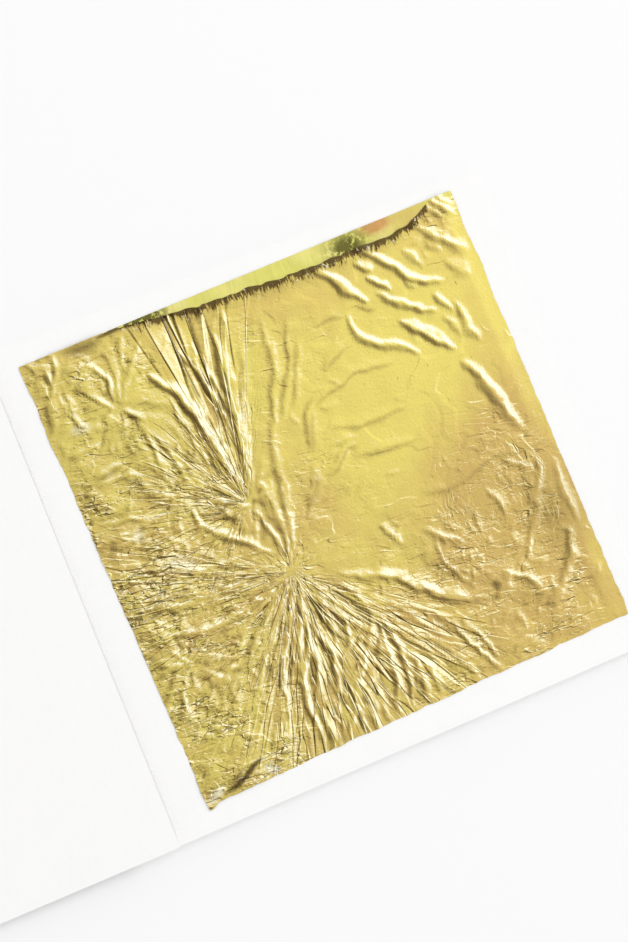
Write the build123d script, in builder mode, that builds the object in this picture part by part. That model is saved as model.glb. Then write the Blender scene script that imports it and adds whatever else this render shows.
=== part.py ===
from build123d import *
from math import asin, atan, atan2, cos, degrees, hypot, pi, radians, sin
import os

# A booklet of gold leaf, lying open at its first leaf. It has 25 loose leaves between 26 tissue
# pages, side-stapled in a folded card cover.
# The origin is at the foot of the crease, midway along the spine, on the back cover's underside.
# +X runs from the crease to the fore-edge, +Y along the spine to the head, +Z up. Millimetres.

# Gold leaves
leaf_side = 80.0
leaf_count = 25
leaf_thickness = 0.02
leaf_from_crease = 5.6
leaf_from_foot = 5.2
leaf_skew_degrees = 1.5
leaf_loose_gap = 0.02

# Tissue pages
tissue_thickness = 0.04
page_width = 90.0
page_height = 88.0
page_crease_gap = 0.1
turned_count = 2

# Card cover
card_thickness = 0.25
fold_outer_radius = 0.35
fold_inner_radius = 0.1
spine_glue_gap = 0.1
flap_crease_gap = 0.3
flap_over_strip = 0.1

# Bound margin and its staples
bound_margin = 8.0
staple_wire_width = 0.45
staple_wire_thickness = 0.3
staple_crown = 11.0
staple_leg_tuck = 3.6
staple_from_ends = 16.0
staple_bend_radius = 0.35
staple_hole_clearance = 0.06

# Crinkled top leaf: how many rows of panels it creases into each way, its fold widths, the folds of
# the fan that spreads from its main knot, and how high it stands in the room under a closed page
panel_rows = 32
fold_half_width = 3.0
fan_folds = 7
fan_start_degrees = 170.0
fan_end_degrees = 330.0
fan_grip_radius = 6.0
fan_full_radius = 24.0
relief_share = 0.86
fan_height_share = 0.55
curl_height_share = 0.8
curl_depth = 6.0
knot_shares = (0.356, 0.384)

# The curled head edge of the top leaf: (place along the side, how far the edge is drawn back)
drawn_back_shares = [(0.0, 0.0), (0.22, 0.0), (0.48, 0.045), (0.69, 0.06), (0.94, 0.034), (1.0, 0.0)]

# The long folds of the top leaf, each as (height, points), all as shares
fold_shares = [
    (1.0, [(0.25, 0.88), (0.30, 0.81), (0.316, 0.70), (0.328, 0.58)]),
    (0.8, [(0.405, 0.93), (0.398, 0.80), (0.375, 0.69), (0.35, 0.58)]),
    (0.7, [(0.41, 0.60), (0.385, 0.50), (0.356, 0.384)]),
    (0.9, [(0.77, 0.96), (0.86, 0.87), (0.92, 0.84)]),
    (0.8, [(0.74, 0.93), (0.80, 0.85), (0.87, 0.78)]),
    (0.7, [(0.69, 0.93), (0.74, 0.84), (0.76, 0.77)]),
    (0.6, [(0.78, 0.79), (0.88, 0.68)]),
    (0.6, [(0.68, 0.84), (0.71, 0.78), (0.78, 0.73)]),
    (0.5, [(0.89, 0.65), (0.93, 0.57), (0.94, 0.50)]),
    (0.5, [(0.47, 0.335), (0.62, 0.235), (0.72, 0.165)]),
    (0.4, [(0.65, 0.35), (0.72, 0.295)]),
    (0.4, [(0.54, 0.70), (0.62, 0.715)]),
    (0.4, [(0.515, 0.55), (0.58, 0.58), (0.70, 0.54)]),
    (0.6, [(0.16, 0.85), (0.20, 0.63), (0.33, 0.55)]),
    (0.5, [(0.05, 0.93), (0.10, 0.78), (0.06, 0.62)]),
    (0.5, [(0.0, 0.02), (0.05, 0.02), (0.14, 0.04)]),
]

# Heights of the stack: each page with the leaf on it
page_count = leaf_count + 1
page_pitch = tissue_thickness + leaf_thickness
leaf_02_foot = card_thickness + (page_count - turned_count) * page_pitch - leaf_thickness
leaf_01_foot = leaf_02_foot + leaf_thickness + leaf_loose_gap

# Heights of the bound margin, pressed tight between the staples' two faces
margin_foot = card_thickness + staple_wire_thickness
margin_top = margin_foot + page_count * tissue_thickness
strip_foot = margin_top + staple_wire_thickness
strip_top = strip_foot + card_thickness
spine_inner_x = -bound_margin - spine_glue_gap
spine_outer_x = spine_inner_x - card_thickness

# The crease, about which the flap and every page turn, is high enough for the opened flap to lie
# back over the bound margin while its free edge rests on the table
flap_build = card_thickness + turned_count * tissue_thickness
axis_height = flap_build + (strip_top + flap_over_strip) / (1 + spine_outer_x / page_width)
flap_slope = asin(axis_height / hypot(page_width, flap_build)) - atan(flap_build / page_width)
closing_room = axis_height - leaf_01_foot
fold_relief = relief_share * closing_room

# Where the leaves lie on their pages
leaf_centre_x = leaf_from_crease + leaf_side / 2
leaf_centre_y = -page_height / 2 + leaf_from_foot + leaf_side / 2


def page_plane(height):
    """The plane of a page that lies on the right-hand stack, at this height."""
    return Plane.XY.offset(height)


def opened_plane(offset):
    """The plane of an opened sheet on the left, this far from the crease's axis."""
    flap = Plane(
        origin=(0, 0, axis_height),
        x_dir=(-cos(flap_slope), 0, -sin(flap_slope)),
        z_dir=(sin(flap_slope), 0, -cos(flap_slope)),
    )
    return flap.offset(offset)


def leaf_plane(height, skew_degrees):
    """A plane with its origin at a leaf's corner by the crease and the foot."""
    turn = radians(skew_degrees)
    along, across = (cos(turn), sin(turn)), (-sin(turn), cos(turn))
    half = leaf_side / 2
    corner = (
        leaf_centre_x - half * (along[0] + across[0]),
        leaf_centre_y - half * (along[1] + across[1]),
        height,
    )
    return Plane(origin=corner, x_dir=(*along, 0), z_dir=(0, 0, 1))


def page_sheet(plane, inner_edge, thickness):
    """A sheet that runs from its inner edge by the crease to the fore-edge."""
    width = page_width - inner_edge
    with BuildPart() as sheet:
        with BuildSketch(plane):
            with Locations((inner_edge + width / 2, 0)):
                Rectangle(width, page_height)
        extrude(amount=thickness)
    return sheet


def flat_leaf(plane):
    """A leaf that lies flat on its page."""
    with BuildPart() as sheet:
        with BuildSketch(plane):
            with Locations((leaf_side / 2, leaf_side / 2)):
                Rectangle(leaf_side, leaf_side)
        extrude(amount=leaf_thickness)
    return sheet


def distance_to_segment(point, start, end):
    """How far a point is from the line between two others."""
    run = (end[0] - start[0], end[1] - start[1])
    out = (point[0] - start[0], point[1] - start[1])
    along = (out[0] * run[0] + out[1] * run[1]) / (run[0] ** 2 + run[1] ** 2)
    along = min(1, max(0, along))
    return hypot(out[0] - along * run[0], out[1] - along * run[1])


def drawn_back(place):
    """How far the head edge of the top leaf is drawn back at this place along the side."""
    share = place / leaf_side
    for (start, first), (end, last) in zip(drawn_back_shares, drawn_back_shares[1:]):
        if share <= end:
            return leaf_side * (first + (last - first) * (share - start) / (end - start))
    return 0


def long_fold_height(point):
    """The height of the tallest long fold that passes over this point."""
    tallest = 0
    for height_share, points in fold_shares:
        line = [(leaf_side * s, leaf_side * t) for s, t in points]
        near = min(distance_to_segment(point, a, b) for a, b in zip(line, line[1:]))
        tallest = max(tallest, height_share * (1 - near / fold_half_width))
    return tallest


def fan_height(point):
    """The height of the fan of folds that spreads from the leaf's main knot to its edges."""
    out = (point[0] - leaf_side * knot_shares[0], point[1] - leaf_side * knot_shares[1])
    radius, turn = hypot(*out), degrees(atan2(out[1], out[0])) % 360
    if not fan_start_degrees < turn < fan_end_degrees:
        return 0
    place = (turn - fan_start_degrees) / (fan_end_degrees - fan_start_degrees)
    crest = (1 - cos(2 * pi * fan_folds * place)) / 2
    spread = (radius - fan_grip_radius) / (fan_full_radius - fan_grip_radius)
    return fan_height_share * crest * min(1, max(0, spread))


def curl_height(point):
    """The height of the head edge, which curls up where it is drawn back."""
    edge = leaf_side - drawn_back(point[0])
    drawn_share = min(1, drawn_back(point[0]) / (curl_depth / 2))
    return curl_height_share * drawn_share * max(0, 1 - (edge - point[1]) / curl_depth) ** 2


def leaf_height(point):
    """How high the crinkled leaf stands over its lowest point."""
    raised = max(long_fold_height(point), fan_height(point), curl_height(point))
    return fold_relief * min(1, raised)


def panel(*corners):
    """One flat face of the crinkled leaf."""
    return Face(Wire.make_polygon(corners, close=True))


def crinkled_leaf(plane):
    """The crinkled leaf as a closed thin solid of flat three-cornered panels, two to a square."""
    under, over = [], []
    for row in range(panel_rows + 1):
        place = leaf_side * row / panel_rows
        depth = leaf_side - drawn_back(place)
        points = [(place, depth * step / panel_rows) for step in range(panel_rows + 1)]
        heights = [leaf_height(point) for point in points]
        under.append([plane.from_local_coords((*p, h)) for p, h in zip(points, heights)])
        over.append(
            [plane.from_local_coords((*p, h + leaf_thickness)) for p, h in zip(points, heights)]
        )
    faces = []
    for row in range(panel_rows):
        for step in range(panel_rows):
            for skin in (under, over):
                near, far = skin[row], skin[row + 1]
                faces.append(panel(near[step], far[step], far[step + 1]))
                faces.append(panel(near[step], far[step + 1], near[step + 1]))
    rim = [(n, 0) for n in range(panel_rows)]
    rim += [(panel_rows, n) for n in range(panel_rows)]
    rim += [(n, panel_rows) for n in range(panel_rows, 0, -1)]
    rim += [(0, n) for n in range(panel_rows, 0, -1)]
    for (row, step), (next_row, next_step) in zip(rim, rim[1:] + rim[:1]):
        faces.append(
            panel(
                under[row][step],
                under[next_row][next_step],
                over[next_row][next_step],
                over[row][step],
            )
        )
    return Solid(Shell(faces))


def staple(x_place, y_place):
    """A wire staple: its crown on the margin, its legs through it and tucked under it."""
    outer_height = margin_top - margin_foot + 2 * staple_wire_thickness
    inner_height = margin_top - margin_foot
    inner_radius = staple_bend_radius - staple_wire_thickness / 2
    middle = (margin_foot + margin_top) / 2
    leg_gap = staple_crown - 2 * staple_leg_tuck
    with BuildPart() as wire:
        with BuildSketch(Plane.YZ.offset(x_place - staple_wire_width / 2)):
            with Locations((y_place, middle)):
                RectangleRounded(staple_crown, outer_height, staple_bend_radius)
                RectangleRounded(
                    staple_crown - 2 * staple_wire_thickness,
                    inner_height,
                    inner_radius,
                    mode=Mode.SUBTRACT,
                )
            with Locations((y_place, margin_foot - staple_wire_thickness / 2)):
                Rectangle(leg_gap, 2 * staple_wire_thickness, mode=Mode.SUBTRACT)
        extrude(amount=staple_wire_width)
    return wire


os.makedirs("parts", exist_ok=True)

# The cover: back, spine and the strip over the margin are one card, folded twice
strip_end_x = -page_crease_gap
with BuildPart() as cover_wrap:
    with BuildSketch(Plane.XZ.offset(-page_height / 2)):
        with BuildLine():
            Polyline(
                (page_width, 0),
                (spine_outer_x, 0),
                (spine_outer_x, strip_top),
                (strip_end_x, strip_top),
                (strip_end_x, strip_foot),
                (spine_inner_x, strip_foot),
                (spine_inner_x, card_thickness),
                (page_width, card_thickness),
                close=True,
            )
        card = make_face()
        corners = card.vertices().group_by(Axis.X)
        fillet(corners[0], fold_outer_radius)
        fillet(corners[1], fold_inner_radius)
    extrude(amount=page_height)
cover_wrap.part.label = "cover_wrap"
export_step(cover_wrap.part, "parts/cover_wrap.step")

front_cover = page_sheet(
    opened_plane(turned_count * tissue_thickness), flap_crease_gap, card_thickness
)
front_cover.part.label = "front_cover"
export_step(front_cover.part, "parts/front_cover.step")

# The staples stand at the margin's middle, as far from the head as from the foot
staple_x = -bound_margin / 2
staple_places = {
    "staple_head": page_height / 2 - staple_from_ends,
    "staple_foot": -page_height / 2 + staple_from_ends,
}
for name, place in staple_places.items():
    wire = staple(staple_x, place)
    wire.part.label = name
    export_step(wire.part, f"parts/{name}.step")

# The bound margins: one strip of each page, with the four holes that the staples' legs pierced
leg_from_middle = (staple_crown - staple_wire_thickness) / 2
leg_holes = [
    (staple_x, place + side * leg_from_middle)
    for place in staple_places.values()
    for side in (-1, 1)
]
strips = []
for sheet in range(page_count):
    with BuildPart() as strip:
        with BuildSketch(page_plane(margin_foot + sheet * tissue_thickness)):
            with Locations((-bound_margin / 2, 0)):
                Rectangle(bound_margin, page_height)
            with Locations(*leg_holes):
                Rectangle(
                    staple_wire_width + 2 * staple_hole_clearance,
                    staple_wire_thickness + 2 * staple_hole_clearance,
                    mode=Mode.SUBTRACT,
                )
        extrude(amount=tissue_thickness)
    strips.append(strip.part)
tissue_stubs = Compound(label="tissue_stubs", children=strips)
export_step(tissue_stubs, "parts/tissue_stubs.step")

# The pages that are turned over lie on the opened flap, the first page lowest
for number in range(1, turned_count + 1):
    page = page_sheet(
        opened_plane((turned_count - number) * tissue_thickness), page_crease_gap, tissue_thickness
    )
    page.part.label = f"tissue_{number:02d}"
    export_step(page.part, f"parts/tissue_{number:02d}.step")

# The other pages lie on the back cover, each with its leaf on it
for number in range(turned_count + 1, page_count + 1):
    height = card_thickness + (page_count - number) * page_pitch
    page = page_sheet(page_plane(height), page_crease_gap, tissue_thickness)
    page.part.label = f"tissue_{number:02d}"
    export_step(page.part, f"parts/tissue_{number:02d}.step")
    leaf = flat_leaf(leaf_plane(height + tissue_thickness, leaf_skew_degrees))
    leaf.part.label = f"leaf_{number - 1:02d}"
    export_step(leaf.part, f"parts/leaf_{number - 1:02d}.step")

# The top leaf, whose folds, fan and curled edge are creased into it panel by panel
leaf_01 = crinkled_leaf(leaf_plane(leaf_01_foot, leaf_skew_degrees))
leaf_01.label = "leaf_01"
export_step(leaf_01, "parts/leaf_01.step")

print(f"The crease's axis is {axis_height:.4f} mm high and the flap slopes {degrees(flap_slope):.4f} degrees.")
print(f"The top leaf stands from {leaf_01_foot:.3f} to {leaf_01_foot + fold_relief + leaf_thickness:.3f} mm.")
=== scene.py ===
"""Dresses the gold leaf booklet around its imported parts. All is in metres, in the parts' frame."""

import logging
import math
from dataclasses import dataclass, field
from enum import Enum
from typing import Callable, Sequence

import bmesh
import bpy
import numpy as np
from mathutils import Matrix, Vector


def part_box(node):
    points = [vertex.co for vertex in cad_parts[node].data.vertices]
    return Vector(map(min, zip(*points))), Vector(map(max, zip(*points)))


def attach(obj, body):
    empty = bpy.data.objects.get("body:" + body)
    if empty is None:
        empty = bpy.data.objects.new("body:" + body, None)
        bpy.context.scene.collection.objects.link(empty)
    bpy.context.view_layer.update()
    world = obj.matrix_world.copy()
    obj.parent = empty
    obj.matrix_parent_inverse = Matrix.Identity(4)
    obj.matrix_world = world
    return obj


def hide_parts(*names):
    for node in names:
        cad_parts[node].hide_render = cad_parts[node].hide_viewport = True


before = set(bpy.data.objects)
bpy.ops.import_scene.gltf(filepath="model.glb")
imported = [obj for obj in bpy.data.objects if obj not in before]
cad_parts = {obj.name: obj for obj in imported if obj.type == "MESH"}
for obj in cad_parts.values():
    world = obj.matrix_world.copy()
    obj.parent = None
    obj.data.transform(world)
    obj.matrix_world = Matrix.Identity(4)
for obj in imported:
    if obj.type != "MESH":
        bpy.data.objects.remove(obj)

LOG = logging.getLogger("booklet")
MM = 0.001
LATTICE = 256
LEAF_SIDE = 80.0
LEAF_SKEW = 1.5
LEAF_CORNER = (6.6609, -39.8335)
# The numbers that the top leaf's mesh carries. facing, crest, crease, dark, torn, light and line say where
# the material paints light and shade on the gold.
LEAF_MARKS = ("tone", "dark", "torn", "crumple", "facing", "crest", "crease", "calm",
              "fan", "upper", "strips", "hub", "swirl", "light", "line")

Range = tuple[float, float]
Place = tuple[float, float, float]
Colour = tuple[float, float, float]
Line = Sequence[tuple[float, float]]
Mark = tuple[float, float, Line]
Fold = tuple[float, float, float, Line]
Pattern = Callable[[np.ndarray, np.ndarray], np.ndarray]

# The folds of the top leaf, in millimetres from its corner by the crease and the foot. Each is
# (height, width of the bright side, width of the shaded side, points along its crest).

# The short ribs by the head and the fore-edge.
RIBS: list[Fold] = [
    (0.78, 1.4, 0.55, [(61.7, 76.1), (63.2, 74.1), (65.7, 71.1), (67.0, 69.0), (69.7, 67.3), (72.8, 66.1)]),
    (0.60, 1.4, 0.8, [(72.2, 75.8), (74.1, 73.6), (77.0, 71.3), (79.3, 69.0)]),
    (0.62, 1.1, 0.4, [(59.2, 75.1), (60.4, 73.6), (61.7, 72.2)]),
    (0.75, 1.5, 0.5, [(52.2, 76.3), (54.7, 73.1), (56.4, 70.1), (58.6, 67.4)]),
    (0.60, 1.1, 0.4, [(60.3, 71.7), (61.5, 69.8), (63.8, 68.0)]),
    (0.60, 0.95, 0.5, [(60.9, 68.4), (63.8, 65.6), (66.9, 62.8), (69.5, 61.5)]),
    (0.80, 1.4, 0.55, [(62.8, 62.7), (64.9, 60.2), (67.2, 57.1), (70.0, 54.1)]),
    (0.72, 1.5, 0.9, [(70.1, 52.1), (71.8, 49.2), (73.0, 45.1), (74.2, 40.8), (75.5, 37.3)]),
    (0.60, 1.0, 0.6, [(54.7, 67.1), (55.0, 63.5), (56.8, 61.2), (59.4, 59.5), (61.8, 58.1), (64.1, 56.0)]),
    (0.50, 1.1, 0.6, [(73.0, 62.0), (73.5, 59.4), (73.4, 56.8), (74.3, 54.0)]),
    (0.50, 0.9, 0.5, [(69.9, 64.8), (71.0, 62.5), (72.2, 60.8)]),
    (0.38, 1.5, 0.9, [(74.4, 69.3), (75.9, 67.3), (77.6, 65.2)]),
    (0.36, 0.9, 0.6, [(68.1, 73.9), (69.2, 72.2), (70.1, 70.1)]),
    (0.36, 0.8, 0.5, [(66.3, 68.7), (67.7, 66.7)]),
    (0.30, 0.6, 0.4, [(69.4, 33.8), (71.7, 32.2), (74.1, 29.7)]),
    (0.45, 0.9, 0.7, [(75.3, 31.3), (75.6, 29.5), (73.9, 27.2), (71.4, 24.5)]),
    (0.42, 1.2, 0.6, [(78.4, 30.4), (78.1, 26.3), (77.8, 22.6), (78.2, 18.4)]),
    (0.55, 0.8, 0.5, [(75.6, 80.0), (77.3, 78.0), (79.0, 75.9)]),
    (0.50, 0.7, 0.5, [(77.0, 80.0), (78.3, 79.0), (79.7, 77.6)]),
    (0.40, 0.7, 0.5, [(74.4, 79.0), (75.6, 77.6), (76.9, 76.0)]),
    (0.34, 0.9, 0.6, [(72.2, 73.1), (73.8, 71.9), (74.6, 70.8)]),
    (0.34, 1.0, 0.6, [(70.1, 60.4), (71.7, 58.1), (72.2, 55.8)]),
]
# The long folds from the upper pinch to the head.
STRIP_RIDGES: list[Fold] = [
    (0.85, 1.7, 0.9, [(19.3, 70.6), (20.5, 68.4), (22.6, 65.5), (23.9, 60.8), (24.7, 56.1), (25.5, 51.1),
        (26.0, 45.9)]),
    (0.30, 0.5, 0.5, [(24.3, 75.0), (26.2, 71.1), (27.4, 67.7), (28.1, 63.1), (28.4, 58.0), (28.1, 52.4)]),
    (0.28, 0.5, 0.45, [(28.0, 73.4), (28.6, 69.1), (29.4, 64.6), (29.3, 58.1), (28.3, 51.5)]),
    (0.55, 1.8, 1.0, [(31.9, 72.6), (31.5, 68.7), (31.0, 64.0), (30.0, 57.8), (28.3, 51.1), (26.9, 45.9)]),
]
# The faint folds of the smooth part, towards the head.
LOW_RIDGES: list[Fold] = [
    (0.30, 0.9, 0.5, [(36.4, 69.1), (34.6, 64.9), (32.7, 60.3), (31.4, 55.5)]),
    (0.40, 1.2, 0.55, [(40.5, 72.3), (40.0, 67.2), (39.1, 63.0), (37.5, 59.6), (36.0, 55.2), (34.0, 51.5)]),
    (0.36, 1.1, 0.6, [(45.5, 70.7), (43.5, 67.0), (42.3, 63.3), (39.5, 58.7), (37.5, 54.6)]),
    (0.42, 1.0, 0.55, [(35.4, 55.5), (34.0, 51.1), (32.9, 46.6), (32.7, 41.8), (31.9, 38.8)]),
    (0.45, 1.2, 0.7, [(29.3, 47.4), (29.0, 43.8), (29.4, 39.9)]),
    (0.34, 0.8, 0.5, [(44.0, 56.4), (41.7, 54.0), (40.5, 50.8), (40.9, 48.2)]),
    (0.30, 0.8, 0.5, [(45.4, 66.1), (43.4, 62.8), (42.1, 59.3), (40.2, 55.9)]),
]
# The folds round the small pinches by the crease.
RIDGES: list[Fold] = [
    (0.30, 0.8, 0.5, [(39.7, 45.4), (37.6, 43.0), (36.6, 40.1), (34.7, 37.6)]),
    (0.55, 1.0, 0.45, [(13.1, 67.1), (14.4, 65.3), (16.0, 63.8)]),
    (0.60, 1.2, 0.6, [(11.2, 75.6), (11.6, 74.2), (12.6, 72.3), (12.8, 68.8)]),
    (0.45, 1.3, 0.8, [(14.0, 77.0), (14.1, 74.4), (14.0, 71.1), (13.4, 68.1)]),
    (0.42, 1.0, 0.7, [(19.7, 76.1), (17.5, 73.7), (15.5, 70.9), (13.8, 67.9)]),
    (0.40, 0.9, 0.6, [(17.6, 78.4), (16.2, 75.5), (15.5, 72.9)]),
    (0.45, 1.0, 0.6, [(14.7, 64.3), (15.2, 61.6), (15.4, 58.3), (15.5, 55.0), (15.7, 51.6)]),
    (0.40, 0.9, 0.6, [(16.1, 61.7), (17.2, 58.7), (17.8, 55.2), (18.2, 51.3)]),
    (0.38, 0.8, 0.5, [(20.6, 66.3), (20.9, 62.5), (21.8, 58.8), (22.2, 55.0), (22.8, 50.6)]),
    (0.38, 0.8, 0.5, [(23.6, 62.1), (23.4, 57.3), (23.7, 52.7), (24.7, 47.3)]),
    (0.42, 0.8, 0.4, [(1.9, 62.8), (4.8, 62.9), (7.4, 62.8)]),
    (0.42, 0.8, 0.4, [(4.4, 57.9), (6.9, 58.2), (9.2, 58.4)]),
    (0.42, 0.8, 0.4, [(4.3, 56.9), (7.3, 56.4), (10.4, 55.9), (12.9, 54.3)]),
    (0.50, 1.0, 0.6, [(7.3, 73.0), (8.8, 71.3), (10.5, 69.6), (12.0, 67.8)]),
    (0.40, 0.8, 0.5, [(4.0, 70.5), (5.0, 68.0), (6.4, 66.0)]),
    (0.45, 0.9, 0.6, [(2.6, 79.6), (3.6, 78.0), (3.6, 75.1)]),
    (0.45, 0.9, 0.6, [(6.0, 79.4), (5.3, 77.3), (3.8, 75.0)]),
    (0.42, 1.1, 0.7, [(3.6, 74.5), (1.5, 70.7), (0.0, 66.1)]),
    (0.50, 0.9, 0.6, [(18.1, 48.1), (21.0, 46.4), (25.2, 44.6)]),
    (0.42, 0.8, 0.5, [(21.7, 49.8), (23.5, 47.4), (25.9, 44.7)]),
]
# The folds that run out from the main pinch.
PLEATS: list[Fold] = [
    (0.55, 1.2, 0.6, [(29.6, 46.9), (29.8, 43.4), (29.8, 39.1), (29.6, 35.3), (29.4, 32.5)]),
    (0.50, 1.1, 0.6, [(32.5, 45.6), (31.7, 41.3), (30.9, 37.3), (30.3, 33.4)]),
    (0.50, 1.0, 0.5, [(26.7, 42.7), (27.6, 39.6), (28.2, 36.6), (28.9, 33.1)]),
    (0.55, 1.1, 0.6, [(16.5, 48.1), (17.3, 43.9), (20.2, 41.2), (23.5, 38.0), (27.1, 34.4)]),
    (0.45, 0.8, 0.45, [(19.9, 48.5), (21.1, 46.3), (22.8, 43.4), (24.3, 41.9)]),
    (0.50, 0.8, 0.35, [(22.6, 43.0), (24.6, 43.5), (26.7, 44.0)]),
    (0.45, 0.8, 0.45, [(27.0, 44.1), (28.7, 44.7), (30.2, 44.7)]),
    (0.42, 0.8, 0.5, [(-0.4, 47.1), (4.7, 47.3), (9.3, 47.5), (14.0, 48.1)]),
    (0.40, 0.8, 0.5, [(2.5, 46.1), (6.6, 46.1), (10.7, 45.8)]),
    (0.40, 0.8, 0.45, [(0.9, 56.2), (4.0, 55.6), (7.1, 56.2)]),
    (0.42, 0.8, 0.5, [(-1.9, 51.5), (3.0, 50.4), (6.9, 49.6), (11.5, 46.7)]),
    (0.46, 0.9, 0.5, [(21.5, 36.4), (17.3, 36.4), (12.8, 36.7)]),
    (0.44, 0.9, 0.5, [(18.4, 32.1), (11.8, 32.4), (6.0, 33.7), (1.7, 35.4)]),
    (0.50, 0.9, 0.5, [(25.3, 30.2), (19.6, 27.4), (11.7, 27.4), (4.1, 29.2), (2.2, 30.5)]),
    (0.46, 0.9, 0.45, [(24.7, 32.8), (19.7, 32.1), (13.9, 32.5), (8.7, 34.0)]),
    (0.52, 0.9, 0.45, [(25.2, 28.4), (18.9, 23.1), (15.4, 19.9), (10.7, 18.9), (5.8, 18.2)]),
    (0.52, 0.9, 0.45, [(24.9, 26.8), (20.3, 21.6), (15.3, 19.2), (9.1, 15.7), (6.2, 14.5)]),
    (0.48, 0.9, 0.45, [(27.2, 30.0), (24.3, 25.4), (20.5, 21.1), (16.0, 16.4), (13.7, 14.0)]),
    (0.50, 1.0, 0.5, [(28.1, 29.6), (25.1, 23.3), (21.6, 18.1), (19.5, 13.1), (18.6, 7.5)]),
    (0.55, 1.1, 0.5, [(29.0, 29.2), (27.4, 24.0), (24.9, 19.1), (22.8, 13.3), (21.8, 6.0), (22.0, 3.0)]),
    (0.45, 0.9, 0.5, [(28.1, 23.7), (26.8, 19.1), (26.2, 14.3), (25.2, 10.5)]),
    (0.40, 0.8, 0.5, [(-0.7, 23.7), (2.5, 23.3), (5.8, 23.3)]),
    (0.40, 0.8, 0.5, [(0.7, 25.0), (3.6, 24.1), (6.3, 23.4)]),
    (0.36, 0.8, 0.5, [(4.0, 26.8), (5.3, 25.2), (6.4, 23.3)]),
    (0.40, 0.8, 0.5, [(2.3, 20.4), (0.4, 18.4), (-0.7, 16.3)]),
    (0.40, 0.8, 0.5, [(4.0, 20.1), (3.0, 16.7), (1.6, 14.4)]),
    (0.42, 0.9, 0.5, [(5.7, 18.1), (8.0, 18.5), (10.1, 18.6)]),
    (0.45, 1.0, 0.6, [(14.9, 22.8), (17.5, 25.0), (21.5, 27.4), (25.1, 29.7)]),
    (0.36, 0.8, 0.5, [(5.1, 11.2), (7.6, 11.7), (9.7, 11.6)]),
    (0.55, 1.3, 0.6, [(28.1, 23.7), (26.5, 18.4), (23.1, 13.6), (22.1, 7.6), (21.9, 1.7)]),
    (0.50, 1.0, 0.5, [(28.1, 21.9), (29.1, 15.5), (28.4, 9.9), (28.0, 4.9)]),
    (0.45, 0.9, 0.5, [(31.4, 26.0), (31.4, 20.5), (30.3, 15.8)]),
    (0.48, 0.9, 0.5, [(34.0, 20.8), (32.6, 15.7), (29.5, 12.8)]),
    (0.55, 1.3, 0.6, [(38.6, 19.0), (35.7, 14.3), (32.1, 9.5), (29.9, 5.8)]),
    (0.48, 1.0, 0.55, [(38.9, 18.4), (38.7, 12.1), (37.5, 5.7), (36.0, 0.8)]),
    (0.48, 1.0, 0.5, [(39.5, 17.9), (40.5, 11.2), (39.5, 4.8), (38.5, 0.2)]),
    (0.44, 0.9, 0.5, [(40.4, 10.9), (42.2, 7.9), (41.9, 3.3), (41.7, -0.7)]),
    (0.40, 0.9, 0.5, [(42.7, 9.2), (43.8, 5.5), (44.0, 1.9), (43.9, -0.8)]),
    (0.42, 0.9, 0.6, [(34.8, 25.2), (37.3, 22.9), (38.5, 19.7)]),
    (0.36, 0.8, 0.5, [(39.2, 19.3), (42.7, 17.2), (45.7, 14.1)]),
    (0.40, 0.8, 0.5, [(50.7, 11.9), (52.3, 6.8), (54.3, 2.2), (56.2, -0.6)]),
    (0.36, 0.7, 0.5, [(52.4, 11.1), (54.5, 6.7), (55.7, 2.3)]),
    (0.36, 0.7, 0.5, [(48.0, 7.0), (50.3, 3.4), (51.6, 0.2)]),
    (0.42, 0.8, 0.5, [(30.4, 5.3), (31.3, 3.0), (31.9, -0.1)]),
    (0.42, 0.8, 0.5, [(29.9, 5.3), (29.6, 2.5), (29.9, -0.2)]),
    (0.40, 0.8, 0.5, [(29.6, 5.5), (28.1, 3.2), (26.2, 0.6)]),
]
# The soft folds by the foot and the fore-edge.
SWELLS: list[Fold] = [
    (0.40, 1.0, 0.6, [(52.2, 28.0), (54.9, 25.2), (57.8, 23.1)]),
    (0.60, 1.8, 0.8, [(35.5, 27.0), (39.1, 25.2), (45.0, 22.5), (47.2, 19.5), (50.0, 16.9), (53.4, 14.6),
        (57.9, 12.5)]),
    (0.50, 1.1, 0.6, [(62.2, 15.4), (65.1, 13.6), (67.7, 10.4)]),
    (0.55, 1.4, 1.1, [(63.0, 15.7), (61.8, 13.8), (59.5, 12.2)]),
    (0.55, 1.5, 0.9, [(75.8, 18.6), (74.5, 13.9), (71.6, 10.0), (67.6, 6.9)]),
    (0.40, 1.2, 0.9, [(72.8, 27.3), (72.4, 23.1), (69.3, 19.2), (67.1, 16.3)]),
    (0.36, 1.0, 0.6, [(45.1, 32.0), (46.9, 29.1), (47.8, 27.0)]),
    (0.30, 0.9, 0.6, [(64.7, 30.4), (66.4, 27.0), (66.8, 23.8)]),
    (0.30, 0.9, 0.6, [(52.9, 22.5), (54.8, 18.7), (56.7, 14.8)]),
]
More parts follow.
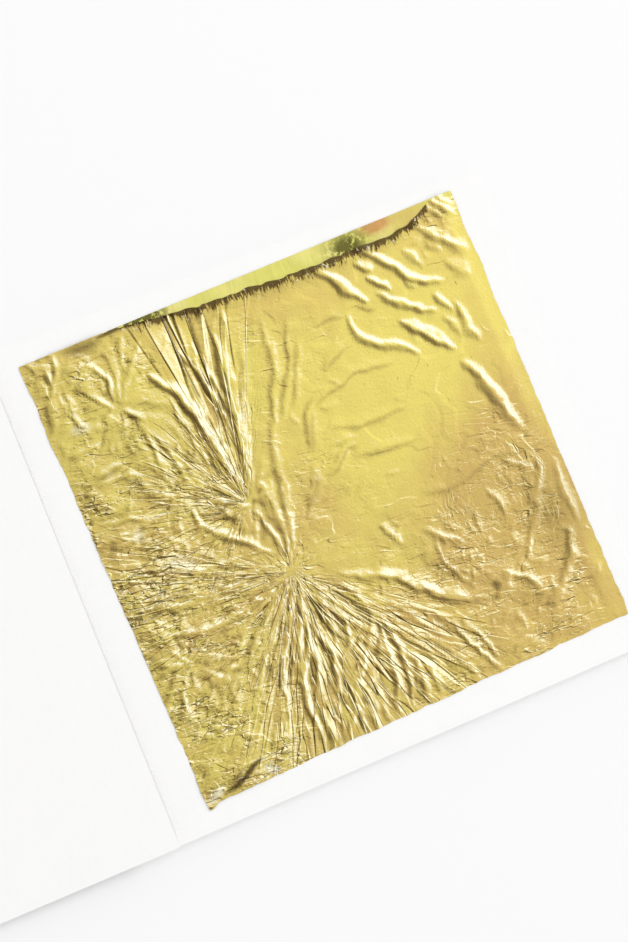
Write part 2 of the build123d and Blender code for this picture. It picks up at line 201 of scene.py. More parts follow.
# The faint folds across the smooth part.
LOW_SWELLS: list[Fold] = [
    (0.26, 2.2, 0.55, [(42.3, 55.0), (45.2, 55.9), (48.9, 56.8), (51.5, 57.8), (55.1, 57.4), (58.5, 56.9)]),
    (0.24, 2.2, 0.6, [(44.3, 50.8), (48.2, 49.2), (52.2, 48.7), (55.8, 49.2), (57.5, 49.0)]),
    (0.32, 2.0, 0.55, [(40.5, 43.2), (42.5, 43.7), (45.2, 46.1), (47.3, 46.0)]),
    (0.24, 2.0, 0.6, [(46.1, 44.2), (49.8, 43.9), (53.7, 43.3), (56.8, 43.0)]),
    (0.26, 1.6, 0.6, [(42.1, 54.3), (40.7, 50.7), (39.7, 47.8)]),
    (0.28, 1.6, 0.6, [(38.8, 45.3), (38.0, 42.8), (35.9, 40.0)]),
    (0.22, 1.8, 0.6, [(47.0, 60.0), (49.6, 61.4), (52.5, 61.9)]),
    (0.24, 2.2, 0.9, [(54.3, 33.8), (58.3, 33.1), (61.8, 33.3), (65.8, 34.5), (69.5, 35.0)]),
    (0.20, 1.8, 0.7, [(48.4, 67.4), (51.2, 67.9), (53.5, 67.4)]),
]

# Where the leaf is in its own deep shade, painted as dark marks, and where it catches the light so
# that it looks almost white, painted as highlights. Each is (strength, width, points along it).
PAINTED_SHADE_MARKS: list[Mark] = [
    (1.9, 0.7, [(3.2, 0.9), (5.6, 1.2), (7.6, 1.9), (9.9, 3.3), (11.8, 3.9)]),
    (0.8, 0.5, [(4.6, 2.0), (6.4, 2.6), (8.3, 3.6)]),
    (1.6, 0.9, [(13.5, 79.6), (18.5, 79.8), (24.0, 79.4)]),
    (0.75, 1.6, [(7.5, 79.4), (11.0, 78.8), (14.5, 79.2)]),
    (0.9, 0.8, [(59.9, 76.9), (61.2, 75.6), (62.0, 74.6)]),
    (0.9, 0.7, [(69.5, 77.3), (71.3, 76.6), (72.4, 75.4)]),
    (0.7, 0.5, [(56.3, 68.0), (58.3, 66.3), (59.6, 65.9)]),
    (0.55, 0.5, [(4.4, 57.5), (6.9, 57.8), (9.2, 58.0)]),
    (0.6, 0.5, [(20.7, 44.2), (23.3, 45.5), (24.9, 45.2), (26.6, 44.5)]),
    (0.8, 1.2, [(59.6, 14.9), (61.0, 13.6)]),
]
PAINTED_HIGHLIGHT_MARKS: list[Mark] = [
    (2.0, 1.1, [(11.2, 2.4), (12.2, 1.3), (13.6, 0.7)]),
    (1.5, 1.2, [(0.2, 0.3), (1.8, 1.2), (3.6, 1.9)]),
    (1.2, 0.9, [(61.8, 77.0), (63.3, 76.0)]),
    (0.8, 1.4, [(3.5, 67.0), (5.5, 66.4), (7.5, 66.3)]),
    (0.7, 1.6, [(5.9, 46.8), (8.2, 46.0)]),
    (0.7, 2.0, [(10.0, 41.0), (12.6, 39.0), (14.4, 37.6)]),
]


def ease(value: np.ndarray, low: float, high: float) -> np.ndarray:
    """Rises softly from 0 at low to 1 at high.

    Args:
        value: What is compared with the two ends.
        low: Where the rise starts.
        high: Where the rise ends. It may lie under low, and then the curve falls.

    Returns:
        A share from 0 to 1 for each value.
    """
    share = np.clip((value - low) / (high - low), 0.0, 1.0)
    return share * share * (3.0 - 2.0 * share)


def blob(s: np.ndarray, t: np.ndarray, centre: tuple[float, float], reach: float) -> np.ndarray:
    """A soft round patch.

    Args:
        s: Places along the leaf's foot edge, in millimetres.
        t: Places up from that edge.
        centre: The patch's middle.
        reach: How far out it has faded to about a third.

    Returns:
        1 in the middle, falling to 0 outside.
    """
    return np.exp(-((s - centre[0]) ** 2 + (t - centre[1]) ** 2) / reach**2)


def skewed(s: np.ndarray | float, t: np.ndarray | float, corner: Sequence[float]) -> tuple:
    """Finds places on a leaf as they lie on the object.

    Args:
        s: Places along the leaf's foot edge, in millimetres.
        t: Places up from that edge.
        corner: Where on the object the leaf's corner lies.

    Returns:
        Their x and y on the object, in millimetres.
    """
    cos, sin = math.cos(math.radians(LEAF_SKEW)), math.sin(math.radians(LEAF_SKEW))
    return corner[0] + s * cos - t * sin, corner[1] + s * sin + t * cos


@dataclass(frozen=True)
class Patch:
    """A soft round patch on the leaf, in millimetres."""

    strength: float
    place: tuple[float, float]
    reach: float

    def share(self, s: np.ndarray, t: np.ndarray) -> np.ndarray:
        """How strong it is at these places, from 0 to its strength."""
        return self.strength * blob(s, t, self.place, self.reach)


@dataclass(frozen=True)
class Zone:
    """A part of the leaf with soft borders, in millimetres.

    Each border is where the zone starts and where it has its full strength.
    """

    strength: float
    along: tuple[float, float]
    up: tuple[float, float] | None = None

    def share(self, s: np.ndarray, t: np.ndarray) -> np.ndarray:
        """How strong it is at these places, from 0 to its strength."""
        return self.strength * ease(s, *self.along) * (ease(t, *self.up) if self.up else 1.0)


def together(s: np.ndarray, t: np.ndarray, areas: Sequence[Patch | Zone]) -> np.ndarray:
    """How strong these patches and zones are together at each place."""
    return sum(area.share(s, t) for area in areas)


# Where the gold is green-yellow and where it is ochre. The ochre is partly the gold's own tone and
# partly painted shade where the leaf is crumpled.
COOL_AREAS = (
    Patch(0.9, (52.0, 50.0), 17.0), Patch(0.7, (12.0, 64.0), 12.0), Patch(0.6, (68.0, 63.0), 10.0),
    Patch(0.5, (34.0, 64.0), 9.0), Patch(0.35, (47.0, 27.0), 8.0), Patch(0.4, (8.0, 12.0), 12.0),
    Zone(0.45, (76.8, 78.4), (2.0, 12.0)),
)
WARM_AREAS = (
    Patch(0.95, (68.0, 22.0), 18.0), Patch(0.15, (24.0, 12.0), 10.0), Patch(0.6, (72.0, 33.0), 10.0),
    Patch(0.35, (27.0, 62.0), 5.0), Patch(0.3, (36.0, 40.0), 7.0),
)

# Where the leaf is crumpled, and the smooth band by its fore-edge.
CRUMPLED_AREAS = (
    Zone(0.3, (27.0, 14.0)), Zone(0.7, (27.0, 14.0), (60.0, 50.0)), Zone(0.3, (27.0, 14.0), (68.0, 76.0)),
    Patch(0.45, (9.0, 49.0), 13.0), Patch(0.25, (38.0, 66.0), 12.0), Patch(0.3, (38.0, 40.0), 8.0),
    Patch(0.8, (77.0, 78.0), 5.0), Patch(0.5, (2.0, 1.0), 5.0),
)
CRUMPLED_FOOT = Zone(0.65, (30.0, 52.0), (36.0, 22.0))
CRUMPLED_FORE_EDGE = Zone(0.7, (58.0, 68.0), (46.0, 32.0))
SMOOTH_BAND = Zone(0.8, (75.5, 77.5), (78.0, 72.0))

# Where the fine rings round the swirl show, by the leaf's lower fore-edge.
SWIRL_AREA = Zone(1.0, (79.0, 74.5), (5.0, 11.0))
SWIRL_START = Zone(1.0, (53.0, 60.0))

# Where the leaf is pulled up, and where its corner by the crease is turned up.
PULLED_UP = (Patch(0.2, (28.5, 30.7), 9.0), Patch(0.1, (45.0, 48.0), 14.0))
TURNED_UP = (Patch(0.35, (0.0, 0.0), 3.0), Patch(0.4, (7.5, 1.4), 2.6))

# Where the shaded lines are broader than the folds' own.
FAINT_SHADE = (Patch(0.3, (12.0, 60.0), 11.0), Patch(0.16, (70.0, 26.0), 18.0))
FEW_PLEATS = Patch(0.6, (5.0, 14.0), 15.0)


class Grain:
    """A smooth random relief over a plane, the same on every run."""

    def __init__(self, seed: int) -> None:
        """Draws the slopes of the relief from this seed."""
        turns = np.random.default_rng(seed).uniform(0.0, 2.0 * math.pi, (LATTICE, LATTICE))
        self.slope_x, self.slope_y = np.cos(turns), np.sin(turns)

    def at(self, x: np.ndarray, y: np.ndarray) -> np.ndarray:
        """The relief at these places.

        Args:
            x: Places along the plane, where 1 is the size of one swell.
            y: Places across it.

        Returns:
            Heights of about -1 to 1.
        """
        column, row = np.floor(x).astype(int), np.floor(y).astype(int)
        along, across = x - column, y - row
        rise_x = along**3 * (along * (along * 6.0 - 15.0) + 10.0)
        rise_y = across**3 * (across * (across * 6.0 - 15.0) + 10.0)

        def corner(step_x: int, step_y: int) -> np.ndarray:
            """What one corner of the lattice adds at each place."""
            place = ((column + step_x) % LATTICE, (row + step_y) % LATTICE)
            return self.slope_x[place] * (along - step_x) + self.slope_y[place] * (across - step_y)

        near = corner(0, 0) + rise_x * (corner(1, 0) - corner(0, 0))
        far = corner(0, 1) + rise_x * (corner(1, 1) - corner(0, 1))
        return 1.5 * (near + rise_y * (far - near))

    def faceted(self, x: np.ndarray, y: np.ndarray) -> np.ndarray:
        """A relief of flat three-cornered facets with sharp edges.

        Args:
            x: Places along the plane, where 1 is the size of one facet.
            y: Places across it.

        Returns:
            Heights of about -1 to 1.
        """
        column, row = np.floor(x).astype(int), np.floor(y).astype(int)
        along, across = x - column, y - row
        flip = self.slope_y[column % LATTICE, row % LATTICE] > 0.0
        along = np.where(flip, 1.0 - along, along)

        def corner(step_x: int, step_y: int) -> np.ndarray:
            """The height of one corner of each place's cell."""
            step = np.where(flip, 1 - step_x, step_x)
            return self.slope_x[(column + step) % LATTICE, (row + step_y) % LATTICE]

        near = corner(0, 0) + along * (corner(1, 0) - corner(0, 0)) + across * (corner(0, 1) - corner(0, 0))
        far = corner(1, 1) + (1.0 - along) * (corner(0, 1) - corner(1, 1))
        far += (1.0 - across) * (corner(1, 0) - corner(1, 1))
        return np.where(along + across < 1.0, near, far)


@dataclass(frozen=True)
class Knot:
    """A point where the leaf is pinched, with folds that run out from it.

    The place is in millimetres. The folds lie between the angles start and end, in degrees from
    the foot edge's direction.
    """

    place: tuple[float, float]
    start: float = 61.0
    end: float = 419.0


@dataclass(frozen=True)
class Fan:
    """The pleats that the mesh has round a knot.

    They fade out at reach, in millimetres. There would be this many pleats all round the knot,
    each in run pieces while the distance grows by e. share is how strongly they show, and grain
    is the random relief that makes them unlike one another.
    """

    knot: Knot
    reach: float
    pleats: int
    share: float
    grain: int = 11
    run: float = 1.5


MAIN_KNOT = Knot((28.5, 30.7), 150.0, 322.0)
HUB_KNOT = Knot((28.5, 30.7))
UPPER_KNOT = Knot((26.3, 44.1), 62.0, 230.0)
STRIP_KNOT = Knot((26.3, 43.0), 72.0, 99.0)
SWIRL_KNOT = Knot((64.5, 28.5))
MAIN_FAN = Fan(MAIN_KNOT, 54.0, 84, 0.85, 10)
UPPER_FAN = Fan(UPPER_KNOT, 26.0, 60, 0.6)
STRIP_FAN = Fan(STRIP_KNOT, 50.0, 58, 0.85, 13, 0.6)
SMALL_FANS: tuple[Fan, ...] = (
    Fan(Knot((26.3, 44.1)), 8.0, 30, 0.8),
    Fan(Knot((12.6, 68.1)), 10.0, 30, 0.8),
    Fan(Knot((16.3, 50.1)), 9.0, 30, 0.8),
    Fan(Knot((3.8, 74.6)), 7.0, 26, 0.8),
    Fan(Knot((6.4, 23.2)), 9.0, 30, 0.8),
    Fan(Knot((29.8, 5.4)), 6.0, 22, 0.8),
    Fan(Knot((39.0, 19.0), 205.0, 345.0), 22.0, 52, 0.8),
)


@dataclass(frozen=True)
class FoldGroup:
    """Folds that are laid together, with how much taller and how much wider in the shade."""

    folds: list[Fold]
    taller: float
    wider: float


FOLD_GROUPS = (
    FoldGroup(RIBS, 1.15, 1.7), FoldGroup(STRIP_RIDGES, 1.35, 1.15), FoldGroup(LOW_RIDGES, 0.7, 1.15),
    FoldGroup(RIDGES, 1.1, 1.15), FoldGroup(PLEATS, 1.1, 1.15), FoldGroup(SWELLS + LOW_SWELLS, 1.1, 1.0),
)


@dataclass(frozen=True)
class CreaseSizes:
    """Between which sizes small creases are drawn, in millimetres.

    A crease has the share first of its height at the knot, and all of it growth further out.
    """

    near: Range
    length: Range
    height: Range
    bright: Range
    shaded: Range
    first: float
    growth: float


@dataclass(frozen=True)
class CrumpleLayer:
    """One size of facets in the crumple, in millimetres and degrees.

    patchy is from 0 for everywhere alike to 1 for in patches only.
    """

    size: float
    height: float
    lean: float
    longer: float
    patchy: float


@dataclass
class LeafRelief:
    """How high the crinkled leaf stands over its page, and how its colour changes over it.

    Places are in millimetres: s along the foot edge from the crease, t up to the head edge. The
    relief is worked out once on a fine chart, and then read off at the mesh's points.

    taper is the share of a fold's length over which each of its ends runs out, and thinnest and
    lowest are the shares of its width and height that are left at the tip. fans_seen has the
    marks of the fans of fine pleats, with the knot and the reach of each.
    """

    side: float = LEAF_SIDE
    room: float = 0.96
    margin: float = 1.5
    step: float = 0.125
    lamp_side: tuple[float, float] = (0.93, 0.37)
    bend_seen: float = 0.08
    drawn_back: Line = ((0, 0), (14, 0), (19, 0.4), (25, 1.1), (33.5, 2.0), (44, 2.7), (55, 3.2),
                        (61.5, 3.1), (67, 3.2), (70.8, 2.7), (73.2, 1.4), (75.5, 0.4), (77, 0), (80, 0))
    ragged: tuple[float, float] = (0.3, 0.14)
    curl_depth: float = 3.2
    curl_height: float = 0.55
    # How deep the painted shadow under the torn head edge reaches, and how unevenly.
    edge_shadow_depth: float = 2.3
    edge_shadow_uneven: tuple[float, float] = (1.1, 0.6)
    swirl_fade: Range = (20.0, 9.0)
    swirl_least: float = 0.35
    line_shade: float = 0.85
    line_width: float = 0.55
    tone_middle: float = 0.42
    tone_clouds: tuple[float, float] = (0.22, 0.12)
    crumple_least: float = 0.06
    rings_place: tuple[float, float] = (11.0, 41.4)
    rings_reach: float = 6.0
    rings_pitch: float = 1.5
    rings_height: float = 0.3
    fold_wander: tuple[float, float] = (0.45, 0.28)
    fold_height: float = 0.62
    crease_height: float = 0.6
    uneven: float = 0.32
    taper: float = 0.3
    thinnest: float = 0.25
    lowest: float = 0.15
    calm_height: float = 0.3
    fans_seen: tuple[tuple[str, Knot, float], ...] = (
        ("fan", MAIN_KNOT, 44.0), ("upper", UPPER_KNOT, 24.0),
        ("strips", STRIP_KNOT, 50.0), ("hub", HUB_KNOT, 11.0),
    )
    pleats_from: float = 60.0
    pleats_fade: float = 14.0
    pleat_slope: float = 0.36
    pleat_height: float = 0.24
    border: float = 3.2
    border_height: float = 0.34
    swell: tuple[float, float, float] = (0.2, 0.09, 0.03)
    main_creases: int = 90
    knot_creases: int = 22
    loose_creases: int = 380
    main_sizes: CreaseSizes = CreaseSizes(
        (2.5, 24.0), (5.0, 15.0), (0.2, 0.42), (0.5, 1.1), (0.34, 0.5), 0.45, 22.0)
    crumple_layers: tuple[CrumpleLayer, ...] = (
        CrumpleLayer(4.2, 0.24, 25.0, 1.3, 0.0),
        CrumpleLayer(2.0, 0.15, -8.0, 1.9, 0.5),
        CrumpleLayer(1.1, 0.12, 14.0, 1.8, 1.0),
    )
    seed: int = 11
    chart: dict[str, np.ndarray] = field(default_factory=dict)

    def __post_init__(self) -> None:
        """Draws the random reliefs and works out the chart."""
        self.grains = [Grain(self.seed + n) for n in range(14)]
        self.draws = np.random.default_rng(self.seed)
        count = int(round((self.side + 2 * self.margin) / self.step)) + 1
        self.line = np.linspace(-self.margin, self.side + self.margin, count)
        s, t = np.meshgrid(self.line, self.line, indexing="ij")
        laid = self.laid(s, t)
        height = self.soften(self.height(s, t, laid), 1)
        rise_s, rise_t = np.gradient(height, self.step)
        bend = (height - self.soften(height, 5)) / self.bend_seen
        # The chart's marks for the material: facing, crest and crease say where highlights and shade are
        # painted by slope and bend; light, dark, line and torn hold the painted highlights, the painted
        # shade marks and lines, and the painted shadow under the torn edge.
        self.chart = {
            "height": height,
            "facing": -(rise_s * self.lamp_side[0] + rise_t * self.lamp_side[1]),
            "crest": np.clip(bend, 0.0, 1.0),
            "crease": np.clip(-bend, 0.0, 1.0),
            "calm": np.clip(laid / self.calm_height, 0.0, 1.0),
            "torn": self.torn(s, t),
            "swirl": self.swirl(s, t),
            "light": self.marked(s, t, PAINTED_HIGHLIGHT_MARKS),
            "dark": self.marked(s, t, PAINTED_SHADE_MARKS),
            "line": self.shaded_lines(s, t),
            "tone": self.tone(s, t),
            "crumple": self.crumple_share(s, t),
        }
        for mark, knot, reach in self.fans_seen:
            self.chart[mark] = self.fan_share(s, t, knot, reach)
        self.chart["fan"] *= 1.0 - FEW_PLEATS.share(s, t)

    def soften(self, layer: np.ndarray, times: int) -> np.ndarray:
        """Smooths a layer of the chart.

        Args:
            layer: The layer.
            times: How many times over it is smoothed.

        Returns:
            The smoothed layer.
        """
        for _ in range(times):
            for axis in (0, 1):
                ahead, behind = np.roll(layer, 1, axis), np.roll(layer, -1, axis)
                layer = 0.5 * layer + 0.25 * (ahead + behind)
        return layer

    def read(self, layer: str, s: np.ndarray, t: np.ndarray) -> np.ndarray:
        """Reads one layer of the chart.

        Args:
            layer: The layer's name.
            s: Places along the foot edge.
            t: Places up from it.

        Returns:
            Its value at each place.
        """
        values = self.chart[layer]
        last = len(self.line) - 1.001
        x = np.clip((s + self.margin) / self.step, 0.0, last)
        y = np.clip((t + self.margin) / self.step, 0.0, last)
        column, row = x.astype(int), y.astype(int)
        along, across = x - column, y - row
        near = values[column, row] * (1 - along) + values[column + 1, row] * along
        far = values[column, row + 1] * (1 - along) + values[column + 1, row + 1] * along
        return near + (far - near) * across

    def edge(self, s: np.ndarray) -> np.ndarray:
        """How far up the leaf reaches, with a ragged line where it is torn.

        Args:
            s: Places along the foot edge.

        Returns:
            The head edge's place over each.
        """
        depth = np.interp(s, *zip(*self.drawn_back))
        torn = np.minimum(1.0, depth / 1.5)
        slow, quick = self.grains[0].at(s / 3.0, 0 * s + 3.0), self.grains[1].faceted(s / 0.9, 0 * s + 7.3)
        return self.side - depth - torn * (self.ragged[0] * slow + self.ragged[1] * quick)

    def wander(self, s: np.ndarray, t: np.ndarray, far: float,
               near: float) -> tuple[np.ndarray, np.ndarray]:
        """Shifts places a little, so that no fold runs dead straight.

        Args:
            s: Places along the foot edge.
            t: Places up from it.
            far: The most that the slow wandering shifts them.
            near: The most that the quick wandering does.

        Returns:
            The shifted places.
        """
        a, b, c, d = self.grains[2:6]
        return (
            s + far * a.at(s / 6.0, t / 6.0) + near * c.at(s / 1.7, t / 1.7),
            t + far * b.at(s / 6.0, t / 6.0) + near * d.at(s / 1.7, t / 1.7),
        )

    def lay(self, total: np.ndarray, s: np.ndarray, t: np.ndarray, shape: Fold, sharp: float = 1.1) -> None:
        """Lays one fold on the chart, where it is higher than what is there.

        Args:
            total: The heights so far, which change.
            s: Places along the foot edge.
            t: Places up from it.
            shape: The fold's height, two widths and crest line.
            sharp: How hollow its two sides are, from 1 for flat ones.
        """
        height, bright, shaded, points = shape
        points = np.array(points, float)
        spare = 1.3 * max(bright, shaded) + 1.6
        first = ((points.min(0) - spare + self.margin) / self.step).astype(int)
        last = ((points.max(0) + spare + self.margin) / self.step).astype(int) + 1
        window = tuple(slice(max(0, a), max(0, b)) for a, b in zip(first, last))
        if total[window].size == 0:
            return
        s, t = s[window], t[window]
        uneven = 1.0 + self.uneven * self.grains[12].faceted(s / 1.5, t / 1.5)
        runs = np.diff(points, axis=0)
        lengths = np.hypot(*runs.T)
        whole, done = lengths.sum(), 0.0
        best, rise = np.full(s.shape, 1e9), np.zeros(s.shape)
        for start, run, length in zip(points, runs, lengths):
            out_s, out_t = s - start[0], t - start[1]
            share = np.clip((out_s * run[0] + out_t * run[1]) / length**2, 0.0, 1.0)
            off_s, off_t = out_s - share * run[0], out_t - share * run[1]
            away = np.hypot(off_s, off_t)
            facing = (off_s * self.lamp_side[0] + off_t * self.lamp_side[1]) / np.maximum(away, 1e-6)
            width = uneven * (shaded + (bright - shaded) * (0.5 + 0.5 * facing))
            along = (done + share * length) / whole
            taper = np.clip(along / self.taper, 0.0, 1.0) * np.clip((1.0 - along) / self.taper, 0.0, 1.0)
            taper = np.sqrt(taper)
            thin = self.thinnest + (1.0 - self.thinnest) * taper
            slope = np.maximum(0.0, 1.0 - away / (width * thin)) ** sharp
            slope *= self.lowest + (1.0 - self.lowest) * taper
            nearer = away < best
            rise, best = np.where(nearer, slope, rise), np.where(nearer, away, best)
            done += length
        total[window] = np.maximum(total[window], height * rise)

    def ray(self, knot: Knot, sizes: CreaseSizes) -> Fold:
        """Draws one crease that runs out from a knot.

        Args:
            knot: The knot.
            sizes: Between which sizes it is drawn.

        Returns:
            The crease.
        """
        draws = self.draws
        near, turn = draws.uniform(*sizes.near), draws.uniform(knot.start, knot.end)
        far = near + draws.uniform(*sizes.length)
        height = draws.uniform(*sizes.height) * min(1.0, sizes.first + near / sizes.growth)
        bright, shaded = draws.uniform(*sizes.bright), draws.uniform(*sizes.shaded)
        points = []
        for radius in np.linspace(near, far, 5):
            turn += draws.normal(0.0, 3.0)
            angle = math.radians(turn)
            run = (radius * math.cos(angle), radius * math.sin(angle))
            points.append((knot.place[0] + run[0], knot.place[1] + run[1]))
        return height, bright, shaded, points

    def creases(self) -> list[Fold]:
        """Draws the many small creases: those that run out from the knots, and the loose ones.

        Returns:
            The creases.
        """
        draws = self.draws
        made = [self.ray(MAIN_KNOT, self.main_sizes) for _ in range(self.main_creases)]
        for fan in SMALL_FANS:
            near, length = (0.3, 0.45 * fan.reach), (0.25 * fan.reach, 0.7 * fan.reach)
            sizes = CreaseSizes(near, length, (0.14, 0.32), (0.45, 0.8), (0.3, 0.45), 0.4, 4.0)
            made += [self.ray(fan.knot, sizes) for _ in range(self.knot_creases)]
        for _ in range(self.loose_creases):
            s, t = draws.uniform(0.0, self.side, 2)
            if draws.uniform(0.0, 1.0) > self.crumple_share(np.array([s]), np.array([t]))[0]:
                continue
            lean, long = draws.uniform(0.0, math.pi), draws.uniform(0.8, 2.6)
            bend = draws.normal(0.0, 0.35)
            run = (long * math.cos(lean), long * math.sin(lean))
            middle = (s + bend * run[1], t - bend * run[0])
            line = [(s - run[0], t - run[1]), middle, (s + run[0], t + run[1])]
            height, bright = draws.uniform(0.12, 0.3), draws.uniform(0.45, 0.9)
            made.append((height, bright, draws.uniform(0.3, 0.5), line))
        return made

    def fan_share(self, s: np.ndarray, t: np.ndarray, knot: Knot, reach: float) -> np.ndarray:
        """How strongly a knot's fan of pleats shows at each place.

        Args:
            s: Places along the foot edge.
            t: Places up from it.
            knot: The knot that the pleats run out from.
            reach: How far from it they fade, in millimetres.

        Returns:
            A share from 0 to 1.
        """
        out_s, out_t = s - knot.place[0], t - knot.place[1]
        radius = np.hypot(out_s, out_t)
        turn = (np.degrees(np.arctan2(out_t, out_s)) - self.pleats_from) % 360.0
        start, end = (knot.start - self.pleats_from) % 360.0, (knot.end - self.pleats_from) % 360.0
        share = ease(turn, start - self.pleats_fade, start + self.pleats_fade)
        share *= ease(turn, end + self.pleats_fade, end - self.pleats_fade)
        return share * ease(radius, reach, 0.5 * reach) * ease(radius, 0.2, 1.2)

    def fan(self, s: np.ndarray, t: np.ndarray, fan: Fan) -> np.ndarray:
        """The sharp pleats that run out from a knot, wider and higher the further out.

        Args:
            s: Places along the foot edge.
            t: Places up from it.
            fan: The fan.

        Returns:
            Their height at each place, in millimetres.
        """
        ws, wt = self.wander(s, t, 0.9, 0.22)
        out_s, out_t = ws - fan.knot.place[0], wt - fan.knot.place[1]
        radius = np.maximum(np.hypot(out_s, out_t), 0.2)
        turn = (np.degrees(np.arctan2(out_t, out_s)) - self.pleats_from) % 360.0
        tall = np.minimum(self.pleat_slope * 2.0 * math.pi * radius / fan.pleats, self.pleat_height)
        return tall * self.grains[fan.grain].faceted(turn / 360.0 * fan.pleats, fan.run * np.log(radius))

    def swirl(self, s: np.ndarray, t: np.ndarray) -> np.ndarray:
        """How strongly the fine rings round the swirl show, by the leaf's lower fore-edge.

        Args:
            s: Places along the foot edge.
            t: Places up from it.

        Returns:
            A share from 0 to 1.
        """
        ws, wt = self.wander(s, t, 4.0, 0.6)
        radius = np.hypot(ws - SWIRL_KNOT.place[0], wt - SWIRL_KNOT.place[1])
        share = ease(radius, *self.swirl_fade) * SWIRL_AREA.share(s, t) * SWIRL_START.share(s, t)
        patches = ease(self.grains[0].at(s / 8.0, t / 8.0), -0.3, 0.3)
        return share * (self.swirl_least + (1.0 - self.swirl_least) * patches)

    def crumple_share(self, s: np.ndarray, t: np.ndarray) -> np.ndarray:
        """How crumpled the leaf is.

        Args:
            s: Places along the foot edge.
            t: Places up from it.

        Returns:
            0 for smooth to about 1 for crumpled, at each place.
        """
        edges = np.maximum(CRUMPLED_FOOT.share(s, t), CRUMPLED_FORE_EDGE.share(s, t))
        crumpled = np.clip(self.crumple_least + together(s, t, CRUMPLED_AREAS) + edges, 0.0, 1.1)
        return crumpled * (1.0 - SMOOTH_BAND.share(s, t))

    def crumple(self, s: np.ndarray, t: np.ndarray) -> np.ndarray:
        """The fine crumple between the folds, of flat facets of several sizes.

        Args:
            s: Places along the foot edge.
            t: Places up from it.

        Returns:
            Its height at each place, in millimetres.
        """
        total = np.zeros(s.shape)
        patch = ease(self.grains[9].at(s / 6.5, t / 5.0), -0.15, 0.3)
        for grain, layer in zip(self.grains[6:9], self.crumple_layers):
            ws, wt = self.wander(s, t, 0.35 * layer.size, 0.16 * layer.size)
            cos, sin = math.cos(math.radians(layer.lean)), math.sin(math.radians(layer.lean))
            along, across = (ws * cos + wt * sin) / layer.longer, wt * cos - ws * sin
            strength = layer.height * (1.0 - layer.patchy + layer.patchy * patch)
            total += strength * grain.faceted(along / layer.size, across / layer.size)
        return total

    def rings(self, s: np.ndarray, t: np.ndarray) -> np.ndarray:
        """The few crumpled rings, one in the other, left of the main knot.

        Args:
            s: Places along the foot edge.
            t: Places up from it.

        Returns:
            Their height at each place, in millimetres.
        """
        ws, wt = self.wander(s, t, 0.9, 0.45)
        radius = np.hypot(ws - self.rings_place[0], (wt - self.rings_place[1]) * 1.25)
        ripple = np.abs((radius / self.rings_pitch) % 1.0 - 0.5)
        return self.rings_height * ripple * ease(radius, self.rings_reach, 0.5 * self.rings_reach)

    def laid(self, s: np.ndarray, t: np.ndarray) -> np.ndarray:
        """The large folds.

        Args:
            s: Places along the foot edge.
            t: Places up from it.

        Returns:
            Their height at each place, in millimetres.
        """
        ws, wt = self.wander(s, t, *self.fold_wander)
        laid = np.zeros(s.shape)
        for group in FOLD_GROUPS:
            for tall, bright, shaded, points in group.folds:
                self.lay(laid, ws, wt, (group.taller * tall, bright, group.wider * shaded, points), 1.0)
        return laid

    def fans(self, s: np.ndarray, t: np.ndarray) -> np.ndarray:
        """All the fans of pleats: the main one, the upper one, its strips, and the small ones.

        Args:
            s: Places along the foot edge.
            t: Places up from it.

        Returns:
            Their height at each place, in millimetres.
        """
        height = np.zeros(s.shape)
        for fan in (MAIN_FAN, UPPER_FAN):
            height += fan.share * self.fan_share(s, t, fan.knot, fan.reach) * self.fan(s, t, fan)
        for fan, wider in ((STRIP_FAN, 1.0), *((small, 1.2) for small in SMALL_FANS)):
            near = fan.share * self.fan_share(s, t, fan.knot, wider * fan.reach)
            height += near * (self.fan(s, t, fan) - height)
        return height

    def height(self, s: np.ndarray, t: np.ndarray, laid: np.ndarray) -> np.ndarray:
        """How high the leaf stands over the lowest it can lie.

        Args:
            s: Places along the foot edge.
            t: Places up from it.
            laid: The large folds' height.

        Returns:
            The height at each place, in millimetres.
        """
        small = np.zeros(s.shape)
        ws, wt = self.wander(s, t, *self.fold_wander)
        for shape in self.creases():
            self.lay(small, ws, wt, shape)
        main = self.fan_share(s, t, MAIN_KNOT, MAIN_FAN.reach)
        strips = self.fan_share(s, t, STRIP_KNOT, STRIP_FAN.reach)
        crumple = self.crumple_share(s, t) * (1.0 - 0.55 * main) * (1.0 - 0.6 * strips) * self.crumple(s, t)
        crumple *= 1.0 - 0.45 * self.swirl(s, t)
        still, slow, quick = self.swell
        swell = still + slow * self.grains[1].at(s / 13.0, t / 13.0)
        swell += quick * self.grains[12].at(s / 3.5, t / 3.5)
        edge = self.edge(s)
        lift = self.curl_height * np.minimum(1.0, (self.side - edge) / 2.0)
        lift *= ease(t, edge - self.curl_depth, edge) ** 1.5
        lift *= 0.8 + 0.4 * self.grains[3].at(s / 2.6, 0 * s)
        spare = 1.0 - np.minimum(1.0, laid / 0.5)
        raised = swell + together(s, t, PULLED_UP) + self.fold_height * laid
        raised += self.crease_height * small * (0.35 + 0.65 * spare) + self.fans(s, t) * (0.3 + 0.7 * spare)
        raised += crumple + self.rings(s, t) + lift + together(s, t, TURNED_UP)
        border = ease(np.minimum(np.minimum(s, self.side - s), np.minimum(t, 9.0)), 0.0, self.border)
        raised = np.maximum(0.0, raised) * (self.border_height + (1.0 - self.border_height) * border)
        return raised / (1.0 + (raised / self.room) ** 4) ** 0.25

    def tone(self, s: np.ndarray, t: np.ndarray) -> np.ndarray:
        """How green-yellow the gold is.

        Args:
            s: Places along the foot edge.
            t: Places up from it.

        Returns:
            1 for green-yellow to 0 for ochre, at each place.
        """
        slow, quick = self.tone_clouds
        cloud = slow * self.grains[4].at(s / 7.0, t / 7.0) + quick * self.grains[5].at(s / 2.5, t / 2.5)
        tone = self.tone_middle + together(s, t, COOL_AREAS) - together(s, t, WARM_AREAS) + cloud
        return np.clip(tone, 0.0, 1.0)

